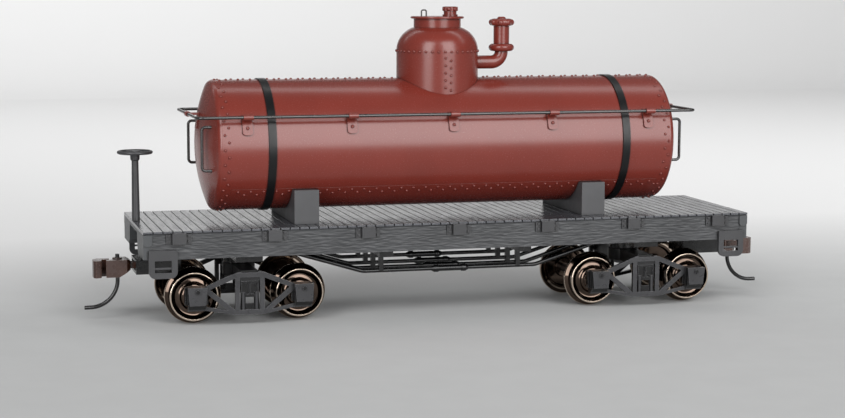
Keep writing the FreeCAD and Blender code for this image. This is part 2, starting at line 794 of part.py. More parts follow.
def make_dome():
    outer = s.dome_radius
    inner = outer - s.dome_wall
    neck_in = s.neck_radius - s.dome_wall
    centre = s.dome_radius - s.dome_curve
    rise = math.sqrt(number(s.dome_curve) ** 2 - number(s.neck_radius - centre) ** 2)
    curve_in = s.dome_curve - s.dome_wall
    rise_in = math.sqrt(number(curve_in) ** 2 - number(neck_in - centre) ** 2)
    low = s.tank_axis + 9
    corners = [corner(outer, low), corner(outer, s.dome_shoulder),
               corner(s.neck_radius, s.dome_shoulder + rise, s.dome_curve, 1),
               corner(s.neck_radius, s.neck_top), corner(neck_in, s.neck_top),
               corner(neck_in, s.dome_shoulder + rise_in),
               corner(inner, s.dome_shoulder, curve_in, -1),
               corner(inner, low)]
    shell = turned("dome_shell", "XZ_Plane", corners, "V_Axis")
    node("dome", cut("dome", shell, [tank_space("tank_space_dome")]))


def make_lid():
    top = s.neck_top + s.lid_thickness
    spigot = s.neck_radius - s.dome_wall - 0.02
    corners = [corner(0, s.neck_top - 1), corner(spigot, s.neck_top - 1),
               corner(spigot, s.neck_top), corner(s.lid_radius - 0.2, s.neck_top),
               corner(s.lid_radius, s.neck_top + 0.15), corner(s.lid_radius, top - 0.12),
               corner(s.lid_radius - 0.15, top), corner(0, top)]
    node("dome_lid", turned("lid", "XZ_Plane", corners, "V_Axis"))
    x = number(s.lid_handle_x)
    z = number(top)
    peak = number(s.lid_handle_top)
    wire = [(x - 0.5, 0, z), (x - 0.5, 0, peak - 0.15), (x + 0.5, 0, peak - 0.15), (x + 0.5, 0, z)]
    node("lid_handle", coded("lid_handle", rod(wire, 0.15, bend=0.35)))
    x = s.lid_valve_x
    parts = [cylinder("valve_body", 1.3, 1.3, x, 0, top),
             cylinder("valve_flange", 1.55, 0.35, x, 0, top),
             cylinder("valve_cap", 1.2, 0.75, x, 0, top + 1.2)]
    for index in range(6):
        angle = math.radians(60 * index + 30)
        parts.append(cylinder(f"valve_lug_{index}", 0.48, 0.85, x + 1.1 * math.cos(angle),
                              1.1 * math.sin(angle), top + 1.05))
    node("lid_valve", fuse("lid_valve", parts))


def make_vent():
    x = number(s.vent_x)
    z = number(s.vent_height)
    path = [(6.0, 0, z), (x, 0, z), (x, 0, number(s.riser_bottom))]
    pipe = rod(path, s.vent_radius, bend=number(s.riser_bottom) - z - 0.05)
    dome_space = Part.makeCylinder(number(s.dome_radius), 30, Vector(0, 0, 40))
    elbow = coded("vent_elbow", pipe.cut(dome_space))
    low = s.riser_bottom
    high = low + s.riser_flange_height
    tube = s.riser_radius
    rim = s.riser_flange
    half = s.riser_flange_height / 2
    corners = [corner(0, low), corner(rim - half, low), corner(rim, low + half, half, 1),
               corner(rim - half, high, half, 1), corner(tube, high), corner(tube, s.riser_top),
               corner(0, s.riser_top)]
    riser = turned("riser", "XZ_Plane", corners, "V_Axis")
    place(riser, s.vent_x, 0, 0)
    node("vent_pipe", fuse("vent_pipe", [elbow, riser]))
    node("vent_cap", vent_cap())


def vent_cap():
    """A cap with a lobed rim, like a hand wheel, and a low crown."""
    low = s.riser_top
    high = low + s.riser_flange_height
    half = s.riser_flange_height / 2
    rim = s.riser_flange - 0.25
    corners = [corner(0, low), corner(rim - half, low), corner(rim, low + half, half, 1),
               corner(rim - half, high, half, 1), corner(0.9, high),
               corner(0.5, high + 0.4, 0.5, 1), corner(0, high + 0.4)]
    disc = turned("cap", "XZ_Plane", corners, "V_Axis")
    place(disc, s.vent_x, 0, 0)
    parts = [disc]
    lobes = 8
    for index in range(lobes):
        angle = 2 * math.pi * (index + 0.5) / lobes
        reach = s.riser_flange - 0.65
        lobe = doc.addObject("Part::Sphere", f"cap_lobe_{index}")
        lobe.Radius = 0.65
        place(lobe, s.vent_x + reach * math.cos(angle), reach * math.sin(angle), low + half)
        parts.append(lobe)
    return fuse("vent_cap_whole", parts)


# Handrail, brackets and grab irons

def make_handrail():
    x = number(s.rail_half_length)
    y = number(s.rail_half_width)
    z = number(s.rail_height)
    loop = [(-x, -y, z), (x, -y, z), (x, y, z), (-x, y, z)]
    node("handrail", coded("handrail", rod(loop, s.rail_radius, number(s.rail_corner), True)))


def side_bracket():
    """A strap on the tank's side, an arm and an eye round the rod."""
    centre = Vector(0, 0, number(s.tank_axis))
    radius = number(s.tank_radius)
    width = number(s.bracket_width)
    up = number(s.rail_height) - centre.z
    top = math.degrees(math.asin(up / radius))
    strap = Part.makeCylinder(radius + 0.28, width, centre - Vector(width / 2, 0, 0),
                              Vector(1, 0, 0))
    strap = strap.cut(Part.makeCylinder(radius, width, centre - Vector(width / 2, 0, 0),
                                        Vector(1, 0, 0)))
    keep = Part.makeBox(width, 6, up - 3.3 + 0.3, Vector(-width / 2, 9, centre.z + 3.3))
    strap = strap.common(keep)
    start = radius * math.cos(math.radians(top)) - 0.05
    arm = Part.makeBox(width, number(s.rail_half_width) - start, 0.45,
                       Vector(-width / 2, start, number(s.rail_height) - 0.225))
    eye_start = Vector(-width / 2, number(s.rail_half_width), number(s.rail_height))
    eye = Part.makeCylinder(0.55, width, eye_start, Vector(1, 0, 0))
    rivet = Part.makeCylinder(0.28, 0.35, Vector(0, 12.3, centre.z + 4.0), Vector(0, 1, 0.33))
    piece = strap.fuse([arm, eye, rivet])
    bore = Part.makeCylinder(number(s.rail_radius), width, eye_start, Vector(1, 0, 0))
    tank = Part.makeCylinder(radius, width + 2, centre - Vector(width / 2 + 1, 0, 0),
                             Vector(1, 0, 0))
    return piece.cut(bore).cut(tank).removeSplitter()


def end_bracket():
    """The same for a tank head: a strap on the dish, an arm and an eye round the end rod."""
    dish = number(s.head_dish)
    apex = number(s.head_apex)
    centre = Vector(apex - dish, 0, number(s.tank_axis))
    width = number(s.bracket_width)
    z = number(s.rail_height)
    shell = Part.makeSphere(dish + 0.28, centre)
    strap = Part.makeBox(6, width, 3.2, Vector(45, -width / 2, z - 2.9)).common(shell)
    end = number(s.rail_half_length)
    arm = Part.makeBox(end - apex + 1.5, width, 0.45, Vector(apex - 1.5, -width / 2, z - 0.225))
    eye = Part.makeCylinder(0.55, width, Vector(end, -width / 2, z), Vector(0, 1, 0))
    bore = Part.makeCylinder(number(s.rail_radius), width, Vector(end, -width / 2, z),
                             Vector(0, 1, 0))
    inside = Part.makeSphere(dish, centre)
    return strap.fuse([arm, eye]).cut(bore).cut(inside).removeSplitter()


def make_brackets():
    side = side_bracket()
    end = end_bracket()
    shapes = []
    for turn in (0, 180):
        spin = Rotation(Vector(0, 0, 1), turn)
        for index in range(-2, 3):
            shape = side.copy()
            shape.Placement = Placement(Vector(number(s.bracket_pitch) * index, 0, 0), spin)
            shapes.append(shape)
        shape = end.copy()
        shape.Placement = Placement(Vector(), spin)
        shapes.append(shape)
    node("handrail_brackets", coded("handrail_brackets", Part.makeCompound(shapes)))


def make_grab_irons():
    x = number(s.grab_x)
    low = number(s.grab_bottom)
    high = number(s.grab_top)
    dish = number(s.head_dish)
    apex = number(s.head_apex)
    inside = Part.makeSphere(dish, Vector(apex - dish, 0, number(s.tank_axis)))
    shapes = []
    for turn in (0, 180):
        for side in (-1, 1):
            y = number(s.grab_y) * side
            bar = [(x - 3, y, low), (x, y, low), (x, y, high), (x - 3, y, high)]
            iron = rod(bar, s.grab_radius, bend=0.7).cut(inside)
            iron.Placement = Placement(Vector(), Rotation(Vector(0, 0, 1), turn))
            shapes.append(iron)
    node("grab_irons", coded("grab_irons", Part.makeCompound(shapes)))


# Trucks

def wheel_outline():
    """Half section of one wheel, radius against distance from the centre line."""
    back = s.wheel_back
    front = s.wheel_front
    tread = s.tread_radius
    tip = s.flange_radius
    bore = s.axle_radius
    return [corner(bore, back + 0.1), corner(1.9, back + 0.1), corner(2.1, back + 0.9),
            corner(3.7, back + 0.9), corner(4.0, back), corner(tip - 0.3, back),
            corner(tip, back + 0.3, 0.3, 1), corner(tip - 0.12, back + 0.62, 0.45, 1),
            corner(tread, back + 0.95), corner(tread - 0.06, front - 0.15),
            corner(tread - 0.2, front, 0.2, 1), corner(4.45, front), corner(4.3, front - 0.25),
            corner(4.15, front - 0.85), corner(3.2, front - 1.05, 1.1, -1),
            corner(2.6, front - 0.75, 0.9, -1), corner(1.9, front - 0.35, 0.9, 1),
            corner(1.6, front), corner(bore, front)]


def make_wheelset(number_of_set, x):
    name = f"wheelset_{number_of_set}"
    r = s.axle_radius
    tip = s.axle_tip
    edge = s.axle_shoulder
    corners = [corner(0, -tip), corner(s.axle_tip_radius, -tip), corner(r, -edge),
               corner(r, edge), corner(s.axle_tip_radius, tip), corner(0, tip)]
    axle = turned(name + "_axle_body", "XY_Plane", corners, "V_Axis")
    place(axle, x, 0, s.flange_radius)
    node(name + "_axle", axle)
    wheel = turned(name + "_wheel_body", "XY_Plane", wheel_outline(), "V_Axis")
    place(wheel, x, 0, s.flange_radius)
    other = mirror(name + "_wheel_other", wheel, (0, 1, 0))
    node(name + "_wheels", group(name + "_wheels", [wheel, other]))


def frame_bars(name):
    """Arch bars, columns, tie bars and spring group of the rear side frame."""
    body = new_body(name + "_bars")
    outer = s.frame_outer
    thick = s.frame_outer - s.frame_inner
    top = s.frame_top
    hexagon = [corner(-8.7, 6.75), corner(-3.2, 2.2), corner(3.2, 2.2), corner(8.7, 6.75),
               corner(8.7, 7.85), corner(2.75, top), corner(-2.75, top), corner(-8.7, 7.85)]
    pad(body, name + "_arch", "XZ_Plane", hexagon, -outer, thick)
    for side in (-1, 1):
        triangle = [corner(2.85 * side, top - 1.04), corner(7.79 * side, 7.24),
                    corner(2.85 * side, 3.08)]
        pocket(body, f"{name}_gap_{side + 1}", "XZ_Plane", triangle, -s.frame_inner, thick)
    window = rectangle((-2.0, 2.0), (3.1, top - 0.9))
    pocket(body, name + "_window", "XZ_Plane", window, -s.frame_inner, thick)
    return body


def make_side_frame(name, x, side):
    parts = [frame_bars(name)]
    thick = s.frame_outer - s.frame_inner
    for end in (-1, 1):
        tie = new_body(f"{name}_tie_{end + 1}")
        outline = [corner(3.0 * end, 2.2), corner(9.2 * end, 3.35), corner(9.2 * end, 4.1),
                   corner(3.6 * end, 2.95)]
        pad(tie, f"{name}_tie_bar_{end + 1}", "XZ_Plane", outline, -s.frame_outer, thick)
        parts.append(tie)
        parts.append(cylinder(f"{name}_spring_{end + 1}", 0.5, 3.4, 1.3 * end,
                              s.frame_inner + 0.25, 3.05))
        parts.append(block(f"{name}_bolt_{end + 1}", (2.05 * end - 0.35, 2.05 * end + 0.35),
                           (s.frame_inner + 0.05, s.frame_outer - 0.05),
                           (s.frame_top - 0.1, s.frame_top + 0.15)))
        parts += journal_box(name, end)
    seat = block(name + "_seat_block", (-1.75, 1.75), (s.frame_inner, s.frame_outer - 0.25),
                 (5.5, 8.6))
    panels = [block(f"{name}_panel_{end + 1}", (0.87 * end - 0.68, 0.87 * end + 0.68),
                    (s.frame_outer - 0.55, s.frame_outer), (6.1, 8.2)) for end in (-1, 1)]
    parts.append(cut(name + "_seat", seat, panels))
    parts.append(block(name + "_upper_bar", (-2.1, 2.1), (s.frame_inner, s.frame_outer - 0.15),
                       (s.frame_top - 1.5, s.frame_top - 0.8)))
    parts.append(block(name + "_spring_plank", (-0.95, 0.95), (s.frame_inner, s.frame_inner + 0.4),
                       (3.0, 4.3)))
    parts.append(block(name + "_seat_web", (-2.1, 2.1), (s.frame_inner, s.frame_inner + 0.4),
                       (8.3, s.frame_top - 0.5)))
    whole = fuse(name + "_whole", parts)
    bores = []
    for end in (-1, 1):
        play = s.bearing_clearance
        r = s.axle_radius
        slope = (s.axle_radius - s.axle_tip_radius) / (s.axle_tip - s.axle_shoulder)
        mouth = r + play + slope * (s.axle_shoulder - s.journal_inner)
        bores.append(cone(f"{name}_bearing_{end + 1}", mouth, s.axle_tip_radius + play,
                          s.axle_tip - s.journal_inner, half_base * end, s.journal_inner,
                          s.flange_radius, TO_Y))
        bores.append(cylinder(f"{name}_bearing_end_{end + 1}", s.axle_tip_radius + play, play,
                              half_base * end, s.axle_tip, s.flange_radius, TO_Y))
    bored = cut(name + "_bored", whole, bores)
    placed = group(name, [bored])
    place(placed, x, 0, 0, (0, 0, 1), 180 if side < 0 else 0)
    node(name, placed)


def journal_box(name, end):
    """A box with a sloping underside, a lid plate and a small boss on it."""
    tag = f"{name}_journal_{end + 1}"
    x = half_base * end
    half = s.journal_width / 2
    front = s.journal_outer - 0.4
    lid_bottom = 4.5
    body = new_body(tag)
    outline = [corner(s.journal_inner, s.journal_top), corner(front, s.journal_top),
               corner(front, lid_bottom), corner(front - 1.3, s.journal_bottom),
               corner(s.journal_inner, s.journal_bottom)]
    pad(body, tag + "_box", "YZ_Plane", outline, x - half, s.journal_width)
    lid = new_body(tag + "_lid")
    wide = 1.87
    narrow = 1.5
    plate = [corner(x - wide, s.journal_top), corner(x - narrow, lid_bottom),
             corner(x + narrow, lid_bottom), corner(x + wide, s.journal_top)]
    pad(lid, tag + "_plate", "XZ_Plane", plate, -s.journal_outer, 0.5)
    wide_back = block(tag + "_back", (x - half - 0.5, x + half + 0.5),
                      (s.journal_inner, s.journal_inner + 1.2), (4.4, s.journal_top - 0.15))
    boss = cylinder(tag + "_boss", 0.42, 0.45, x, s.journal_outer - 0.15, s.journal_top - 0.8, TO_Y)
    return [body, lid, wide_back, boss]


def make_truck(side_name, side):
    x = s.truck_spacing / 2 * side
    name = "truck_" + side_name
    half = s.truck_bolster_width / 2
    bar = block(name + "_bar", (x - half, x + half), (-s.frame_inner, s.frame_inner),
                (s.truck_bolster_bottom, s.truck_bolster_top))
    plate = cylinder(name + "_plate", 3.2, s.truck_bolster_top - s.truck_bolster_bottom,
                     x, 0, s.truck_bolster_bottom)
    bore = cylinder(name + "_bore", s.screw_radius + s.pivot_clearance, 6, x, 0, 6)
    node(name + "_bolster", cut(name + "_bolster", fuse(name + "_blank", [bar, plate]), [bore]))
    make_side_frame(name + "_frame_front", x, -1)
    make_side_frame(name + "_frame_rear", x, 1)


def make_pivot_screws():
    screws = []
    for side in (-1, 1):
        x = s.truck_spacing / 2 * side
        head_top = s.truck_bolster_bottom - 0.1
        shank = cylinder(f"pivot_shank_{side + 1}", s.screw_radius, s.floor_bottom - head_top,
                         x, 0, head_top)
        head = cylinder(f"pivot_head_{side + 1}", 1.9, 0.7, x, 0, head_top - 0.7)
        slot = box(f"pivot_slot_{side + 1}", 4, 0.35, 0.3, x - 2, -0.175, head_top - 0.7)
        screws.append(cut(f"pivot_screw_{side + 1}",
                          fuse(f"pivot_blank_{side + 1}", [shank, head]), [slot]))
    node("truck_screws", group("truck_screws", screws))


def make_tank_screws():
    screws = []
    for index, (x, y) in enumerate(tank_screw_places()):
        shank = cylinder(f"tank_shank_{index}", 0.7, 5.2, x, y, s.floor_bottom)
        head = cylinder(f"tank_head_{index}", 1.3, 0.6, x, y, s.floor_bottom - 0.6)
        screws.append(fuse(f"tank_screw_{index}", [shank, head]))
    node("tank_screws", group("tank_screws", screws))


# Couplers: drawn for the right end, the left one is the same piece turned half round

def both_ends(name, piece):
    """Two nodes, one for each end; SIDE in the name stands for left or right."""
    left = half_turn(name + "_left_turned", piece)
    right = half_turn(name + "_right_back", left)
    node(name.replace("SIDE", "left"), left)
    node(name.replace("SIDE", "right"), right)


def make_draft_boxes():
    wall = s.box_wall
    half = s.box_half
    shell = block("box_shell", (s.box_back, s.box_front), (-half, half),
                  (s.box_bottom, s.spine_bottom))
    space = block("box_space", (s.box_back + wall, s.box_front + 1), (wall - half, half - wall),
                  (s.box_bottom - 1, s.box_roof))
    post = cylinder("box_post", s.coupler_post_radius, s.spine_bottom - s.box_bottom,
                    s.coupler_post_x, 0, s.box_bottom)
    bore = cylinder("box_bore", 0.5, 6, s.coupler_post_x, 0, s.box_bottom - 1)
    hollow = cut("box_hollow", shell, [space])
    piece = cut("box_bored", fuse("box_with_post", [hollow, post]), [bore])
    both_ends("coupler_box_SIDE", piece)
    lid = block("lid_plate", (s.box_back, s.box_front), (-half, half),
                (s.box_lid_bottom, s.box_bottom))
    lid = cut("box_lid", lid, [cylinder("box_lid_bore", 0.5, 4, s.coupler_post_x, 0, 8)])
    node("coupler_box_lids", group("coupler_box_lids", [half_turn("box_lid_left", lid), lid]))
    shank = cylinder("coupler_screw_shank", 0.5, 4.2, s.coupler_post_x, 0, s.box_lid_bottom)
    head = cylinder("coupler_screw_head", 1.0, 0.45, s.coupler_post_x, 0, s.box_lid_bottom - 0.45)
    screw = fuse("coupler_screw", [shank, head])
    node("coupler_screws", group("coupler_screws", [half_turn("coupler_screw_left", screw), screw]))


def make_centring_springs():
    """A thin plate in the box with a leaf on each side of the shank."""
    base = block("spring_base", (54.2, 60.6), (-2.6, 2.6), (s.box_bottom, s.box_bottom + 0.12))
    hole = cylinder("spring_hole", s.coupler_post_radius + 0.02, 2, s.coupler_post_x, 0, 9)
    near = s.shank_width / 2 + 0.1
    leaves = []
    for index, side in enumerate((-1, 1)):
        y = (near, near + 0.14) if side > 0 else (-near - 0.14, -near)
        leaves.append(block(f"spring_leaf_{index}", (58.9, 60.6), y,
                            (s.box_bottom, s.box_bottom + 1.3)))
    spring = fuse("centring_spring", [cut("spring_plate", base, [hole])] + leaves)
    both_ends("coupler_spring_SIDE", spring)


def make_coupler_heads():
    pin_x = s.coupler_pin_x
    body = new_body("coupler_head_body")
    back = pin_x - 2.4
    outline = [corner(back, -1.5), corner(pin_x - 1.6, -2.3), corner(pin_x + 0.1, -2.3),
               corner(pin_x + 0.9, -1.0), corner(pin_x + 1.1, 0.9), corner(pin_x + 2.3, 1.5),
               corner(pin_x + 2.4, 2.5), corner(pin_x - 1.6, 2.5), corner(back, 1.5)]
    pad(body, "coupler_head_block", "XY_Plane", outline, s.head_bottom,
        s.head_top - s.head_bottom)
    slot = block("knuckle_slot", (pin_x - 1.3, pin_x + 3.0), (-4, 1.2), (s.slot_bottom, s.slot_top))
    wedges = new_body("coupler_head_wedges")
    for edge, start, away, cut_in in ((s.head_top, pin_x - 1.3, 0.3, -0.5),
                                      (s.head_bottom, pin_x + 0.3, -0.3, 1.5)):
        outline = [corner(start, edge + away), corner(back - 0.3, edge + away),
                   corner(back - 0.3, edge + cut_in)]
        pad(wedges, f"coupler_head_wedge_{int(away > 0)}", "XZ_Plane", outline, -3.5, 7)
    lug = cylinder("coupler_head_lug", 0.95, 0.4, pin_x, 0, s.head_top - 0.15)
    shank = block("coupler_shank", (s.coupler_post_x, back + 0.1),
                  (-s.shank_width / 2, s.shank_width / 2), (s.shank_bottom, s.shank_top))
    ring = cylinder("coupler_ring", 1.95, s.shank_top - s.shank_bottom, s.coupler_post_x, 0,
                    s.shank_bottom)
    eye = cylinder("coupler_eye", s.coupler_post_radius + s.pivot_clearance, 6,
                   s.coupler_post_x, 0, 8)
    bore = cylinder("coupler_pin_bore", s.coupler_pin_radius + s.pivot_clearance, 8, pin_x, 0, 7)
    carved = cut("coupler_head_carved", body, [slot, wedges])
    whole = fuse("coupler_head_whole", [carved, lug, shank, ring])
    both_ends("coupler_SIDE_head", cut("coupler_head", whole, [eye, bore]))


def make_knuckles():
    pin_x = s.coupler_pin_x
    low = s.slot_bottom + 0.06
    high = s.slot_top - 0.06
    hub = cylinder("knuckle_hub", 1.0, high - low, pin_x, 0, low)
    web = new_body("knuckle_web")
    outline = [corner(pin_x - 0.3, -0.9), corner(pin_x + 1.6, -2.2), corner(pin_x + 1.9, -0.7),
               corner(pin_x + 0.6, 0.75)]
    pad(web, "knuckle_web_plate", "XY_Plane", outline, low, high - low)
    arm = new_body("knuckle_arm")
    outline = [corner(pin_x + 1.4, -2.3), corner(pin_x + 3.8, -2.4), corner(pin_x + 4.7, -1.6),
               corner(pin_x + 4.7, 0.9), corner(pin_x + 4.2, 1.5), corner(pin_x + 3.2, 1.2),
               corner(pin_x + 3.0, -0.6), corner(pin_x + 1.5, -0.9)]
    pad(arm, "knuckle_arm_block", "XY_Plane", outline, s.head_bottom - 0.2,
        s.head_top - s.head_bottom)
    bore = cylinder("knuckle_bore", s.coupler_pin_radius, 8, pin_x, 0, 7)
    both_ends("coupler_SIDE_knuckle", cut("knuckle", fuse("knuckle_whole", [hub, web, arm]), [bore]))


def make_trip_pins():
    x = number(s.coupler_pin_x)
    low = number(s.coupler_tail_height)
    path = [(x, 0, number(s.coupler_pin_top)), (x, 0, low), (number(s.coupler_tail_x), 0, low)]
    pin_piece = coded("trip_pin", rod(path, s.coupler_pin_radius, number(s.coupler_tail_bend)))
    both_ends("coupler_SIDE_pin", pin_piece)


# Hand brake

def make_brake():
    x = s.brake_x
    y = s.brake_y
    wheel_z = s.brake_wheel_height
    foot = s.deck_top - 1.9
    seat = s.deck_top + 0.05
    pin_r = s.brake_pin_radius
    r = s.brake_staff_radius
    corners = [corner(0, foot), corner(pin_r, foot), corner(pin_r, seat), corner(r + 0.05, seat),
               corner(r - 0.08, wheel_z - 1.7), corner(r + 0.15, wheel_z - 1.4),
               corner(r + 0.2, wheel_z - 0.5), corner(0, wheel_z - 0.5)]
    staff = turned("staff", "XZ_Plane", corners, "V_Axis")
    place(staff, x, y, 0)
    node("brake_staff", staff)
    rim = doc.addObject("Part::Torus", "brake_rim")
    bind(rim, "Radius1", s.brake_wheel_radius)
    rim.Radius2 = 0.33
    place(rim, x, y, wheel_z)
    parts = [rim, cylinder("brake_hub", 0.75, 0.75, x, y, wheel_z - 0.5)]
    for index in range(6):
        spoke = cylinder(f"brake_spoke_{index}", 0.24, s.brake_wheel_radius, x, y, wheel_z - 0.1)
        spoke.Placement = Placement(spoke.Placement.Base,
                                    Rotation(Vector(0, 0, 1), 60 * index).multiply(
                                        Rotation(Vector(0, 1, 0), 90)))
        parts.append(spoke)
    node("brake_wheel", fuse("brake_wheel", parts))


def make_all():
    make_deck()
    make_sills()
    make_end_beams()
    make_underframe()
    make_ballast()
    make_stake_pockets()
    make_steps()
    make_truss()
    make_barrel()
    make_heads()
    make_bands()
    make_saddles()
    make_dome()
    make_lid()
    make_vent()
    make_handrail()
    make_brackets()
    make_grab_irons()
    for index, side in enumerate((-1, 1)):
        make_truck(("left", "right")[index], side)
        centre = s.truck_spacing / 2 * side
        make_wheelset(2 * index + 1, centre - half_base)
        make_wheelset(2 * index + 2, centre + half_base)
    make_pivot_screws()
    make_tank_screws()
    make_draft_boxes()
    make_centring_springs()
    make_coupler_heads()
    make_knuckles()
    make_trip_pins()
    make_brake()


def check_document():
    """Stop if an object failed or a piece has no sound shape."""
    doc.recompute()
    for obj in doc.Objects:
        if "Invalid" in obj.State or "Error" in obj.State:
            raise RuntimeError(f"{obj.Name} failed: {obj.State}")
    for piece in pieces:
        if piece.Shape.isNull() or not piece.Shape.isValid() or piece.Shape.Volume <= 0:
            raise RuntimeError(piece.Label + " has no sound shape")


def write_pieces():
    os.makedirs("parts", exist_ok=True)
    for piece in pieces:
        piece.Shape.exportStep(os.path.join("parts", piece.Label + ".step"))
        print(f"{piece.Label}: {len(piece.Shape.Solids)} solid(s), {piece.Shape.Volume:.2f} mm3")
    print(len(pieces), "pieces")


make_all()
check_document()
write_pieces()
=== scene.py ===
"""Looks of a 1:87 model tank wagon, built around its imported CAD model. Lengths are in metres."""

import math
import random

import bpy
from mathutils import Matrix, Vector, noise

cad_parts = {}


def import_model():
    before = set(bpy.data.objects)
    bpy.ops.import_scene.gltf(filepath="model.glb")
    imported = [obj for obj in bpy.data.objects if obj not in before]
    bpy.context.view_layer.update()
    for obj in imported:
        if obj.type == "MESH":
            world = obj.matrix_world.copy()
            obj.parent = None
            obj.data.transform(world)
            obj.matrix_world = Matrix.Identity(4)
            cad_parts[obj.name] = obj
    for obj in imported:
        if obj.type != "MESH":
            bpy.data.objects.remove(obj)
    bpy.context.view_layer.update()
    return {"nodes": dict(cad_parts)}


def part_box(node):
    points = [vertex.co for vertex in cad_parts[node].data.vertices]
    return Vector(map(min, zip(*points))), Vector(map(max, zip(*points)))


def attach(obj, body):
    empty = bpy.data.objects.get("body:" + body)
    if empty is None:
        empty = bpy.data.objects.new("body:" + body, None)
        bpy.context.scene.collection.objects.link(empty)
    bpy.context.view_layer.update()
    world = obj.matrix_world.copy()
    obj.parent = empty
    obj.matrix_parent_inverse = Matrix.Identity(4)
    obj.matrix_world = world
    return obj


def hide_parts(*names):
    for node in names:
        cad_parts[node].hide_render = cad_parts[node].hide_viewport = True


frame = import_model()
nodes = frame["nodes"]

MM = 0.001
WAGON = "wagon_body"
SIDES = ("left", "right")


# Places and sizes that the frame gives

barrel_low, barrel_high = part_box("tank_barrel")
TANK_R = (barrel_high.z - barrel_low.z) / 2
TANK_Z = (barrel_high.z + barrel_low.z) / 2
TANK_END = barrel_high.x
dome_low, dome_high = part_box("dome")
DOME_R = (dome_high.x - dome_low.x) / 2
band_low, band_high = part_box("tank_band_right")
BAND_X = (band_low.x + band_high.x) / 2
BAND_HALF = (band_high.x - band_low.x) / 2


# Materials

def srgb(r, g, b):
    """An 8-bit display colour as linear RGBA."""
    def linear(v):
        v /= 255
        return v / 12.92 if v <= 0.04045 else ((v + 0.055) / 1.055) ** 2.4
    return linear(r), linear(g), linear(b), 1.0


def add(tree, kind, **values):
    """A shader node with some of its values set; an underscore stands for a socket's space."""
    node = tree.nodes.new(kind)
    for name, value in values.items():
        socket = node.inputs.get(name.replace("_", " "))
        if socket is not None:
            socket.default_value = value
        else:
            setattr(node, name, value)
    return node


def coordinates(tree, stretch=(1, 1, 1), origin=(0, 0, 0)):
    """Object coordinates measured from an origin, stretched."""
    place = add(tree, "ShaderNodeTexCoord")
    mapping = add(tree, "ShaderNodeMapping", Scale=stretch)
    mapping.inputs["Location"].default_value = [-s * o for s, o in zip(stretch, origin)]
    tree.links.new(place.outputs["Object"], mapping.inputs["Vector"])
    return mapping.outputs["Vector"]


def noise_of(tree, vector, scale, detail=4.0, roughness=0.55):
    texture = add(tree, "ShaderNodeTexNoise", Scale=scale, Detail=detail, Roughness=roughness)
    tree.links.new(vector, texture.inputs["Vector"])
    return texture.outputs["Fac"]


def ramp(tree, value, low, high, out_low, out_high):
    """Map a value's range onto another one, with no overshoot."""
    node = add(tree, "ShaderNodeMapRange")
    for name, number in (("From Min", low), ("From Max", high), ("To Min", out_low),
                         ("To Max", out_high)):
        node.inputs[name].default_value = number
    tree.links.new(value, node.inputs["Value"])
    return node.outputs["Result"]


def blend(tree, factor, first, second):
    """Mix two colours, each a plain colour or another node's output."""
    node = add(tree, "ShaderNodeMix", data_type="RGBA")
    tree.links.new(factor, node.inputs[0])
    sockets = {socket.identifier: socket for socket in node.inputs}
    for name, colour in (("A_Color", first), ("B_Color", second)):
        if isinstance(colour, tuple):
            sockets[name].default_value = colour
        else:
            tree.links.new(colour, sockets[name])
    return {socket.identifier: socket for socket in node.outputs}["Result_Color"]


def edge_wear_and_highlight(tree, colour, worn_and_lit_colour, rounded, strength):
    """A second colour along the edges, where a rounded normal leaves the true one: partly wear,
    partly a painted highlight of edges catching the light.
    """
    geometry = add(tree, "ShaderNodeNewGeometry")
    match = add(tree, "ShaderNodeVectorMath", operation="DOT_PRODUCT")
    tree.links.new(rounded, match.inputs[0])
    tree.links.new(geometry.outputs["Normal"], match.inputs[1])
    flat = 0.995
    sharp = 0.9
    mask = ramp(tree, match.outputs["Value"], flat, sharp, 0.0, strength)
    return blend(tree, mask, colour, worn_and_lit_colour)


def paint_recess_shade(tree, colour, reach, strength):
    """Painted shade: a darker colour in corners and narrow gaps."""
    corners = add(tree, "ShaderNodeAmbientOcclusion", samples=6, Distance=reach)
    closed = 0.3
    open_air = 0.95
    mask = ramp(tree, corners.outputs["AO"], closed, open_air, strength, 0.0)
    return blend(tree, mask, colour, srgb(12, 11, 11))


# The middle part of a noise, over which a finish changes from one colour or roughness to another
PATCH_RANGE = (0.35, 0.65)
FINE_RANGE = (0.3, 0.7)


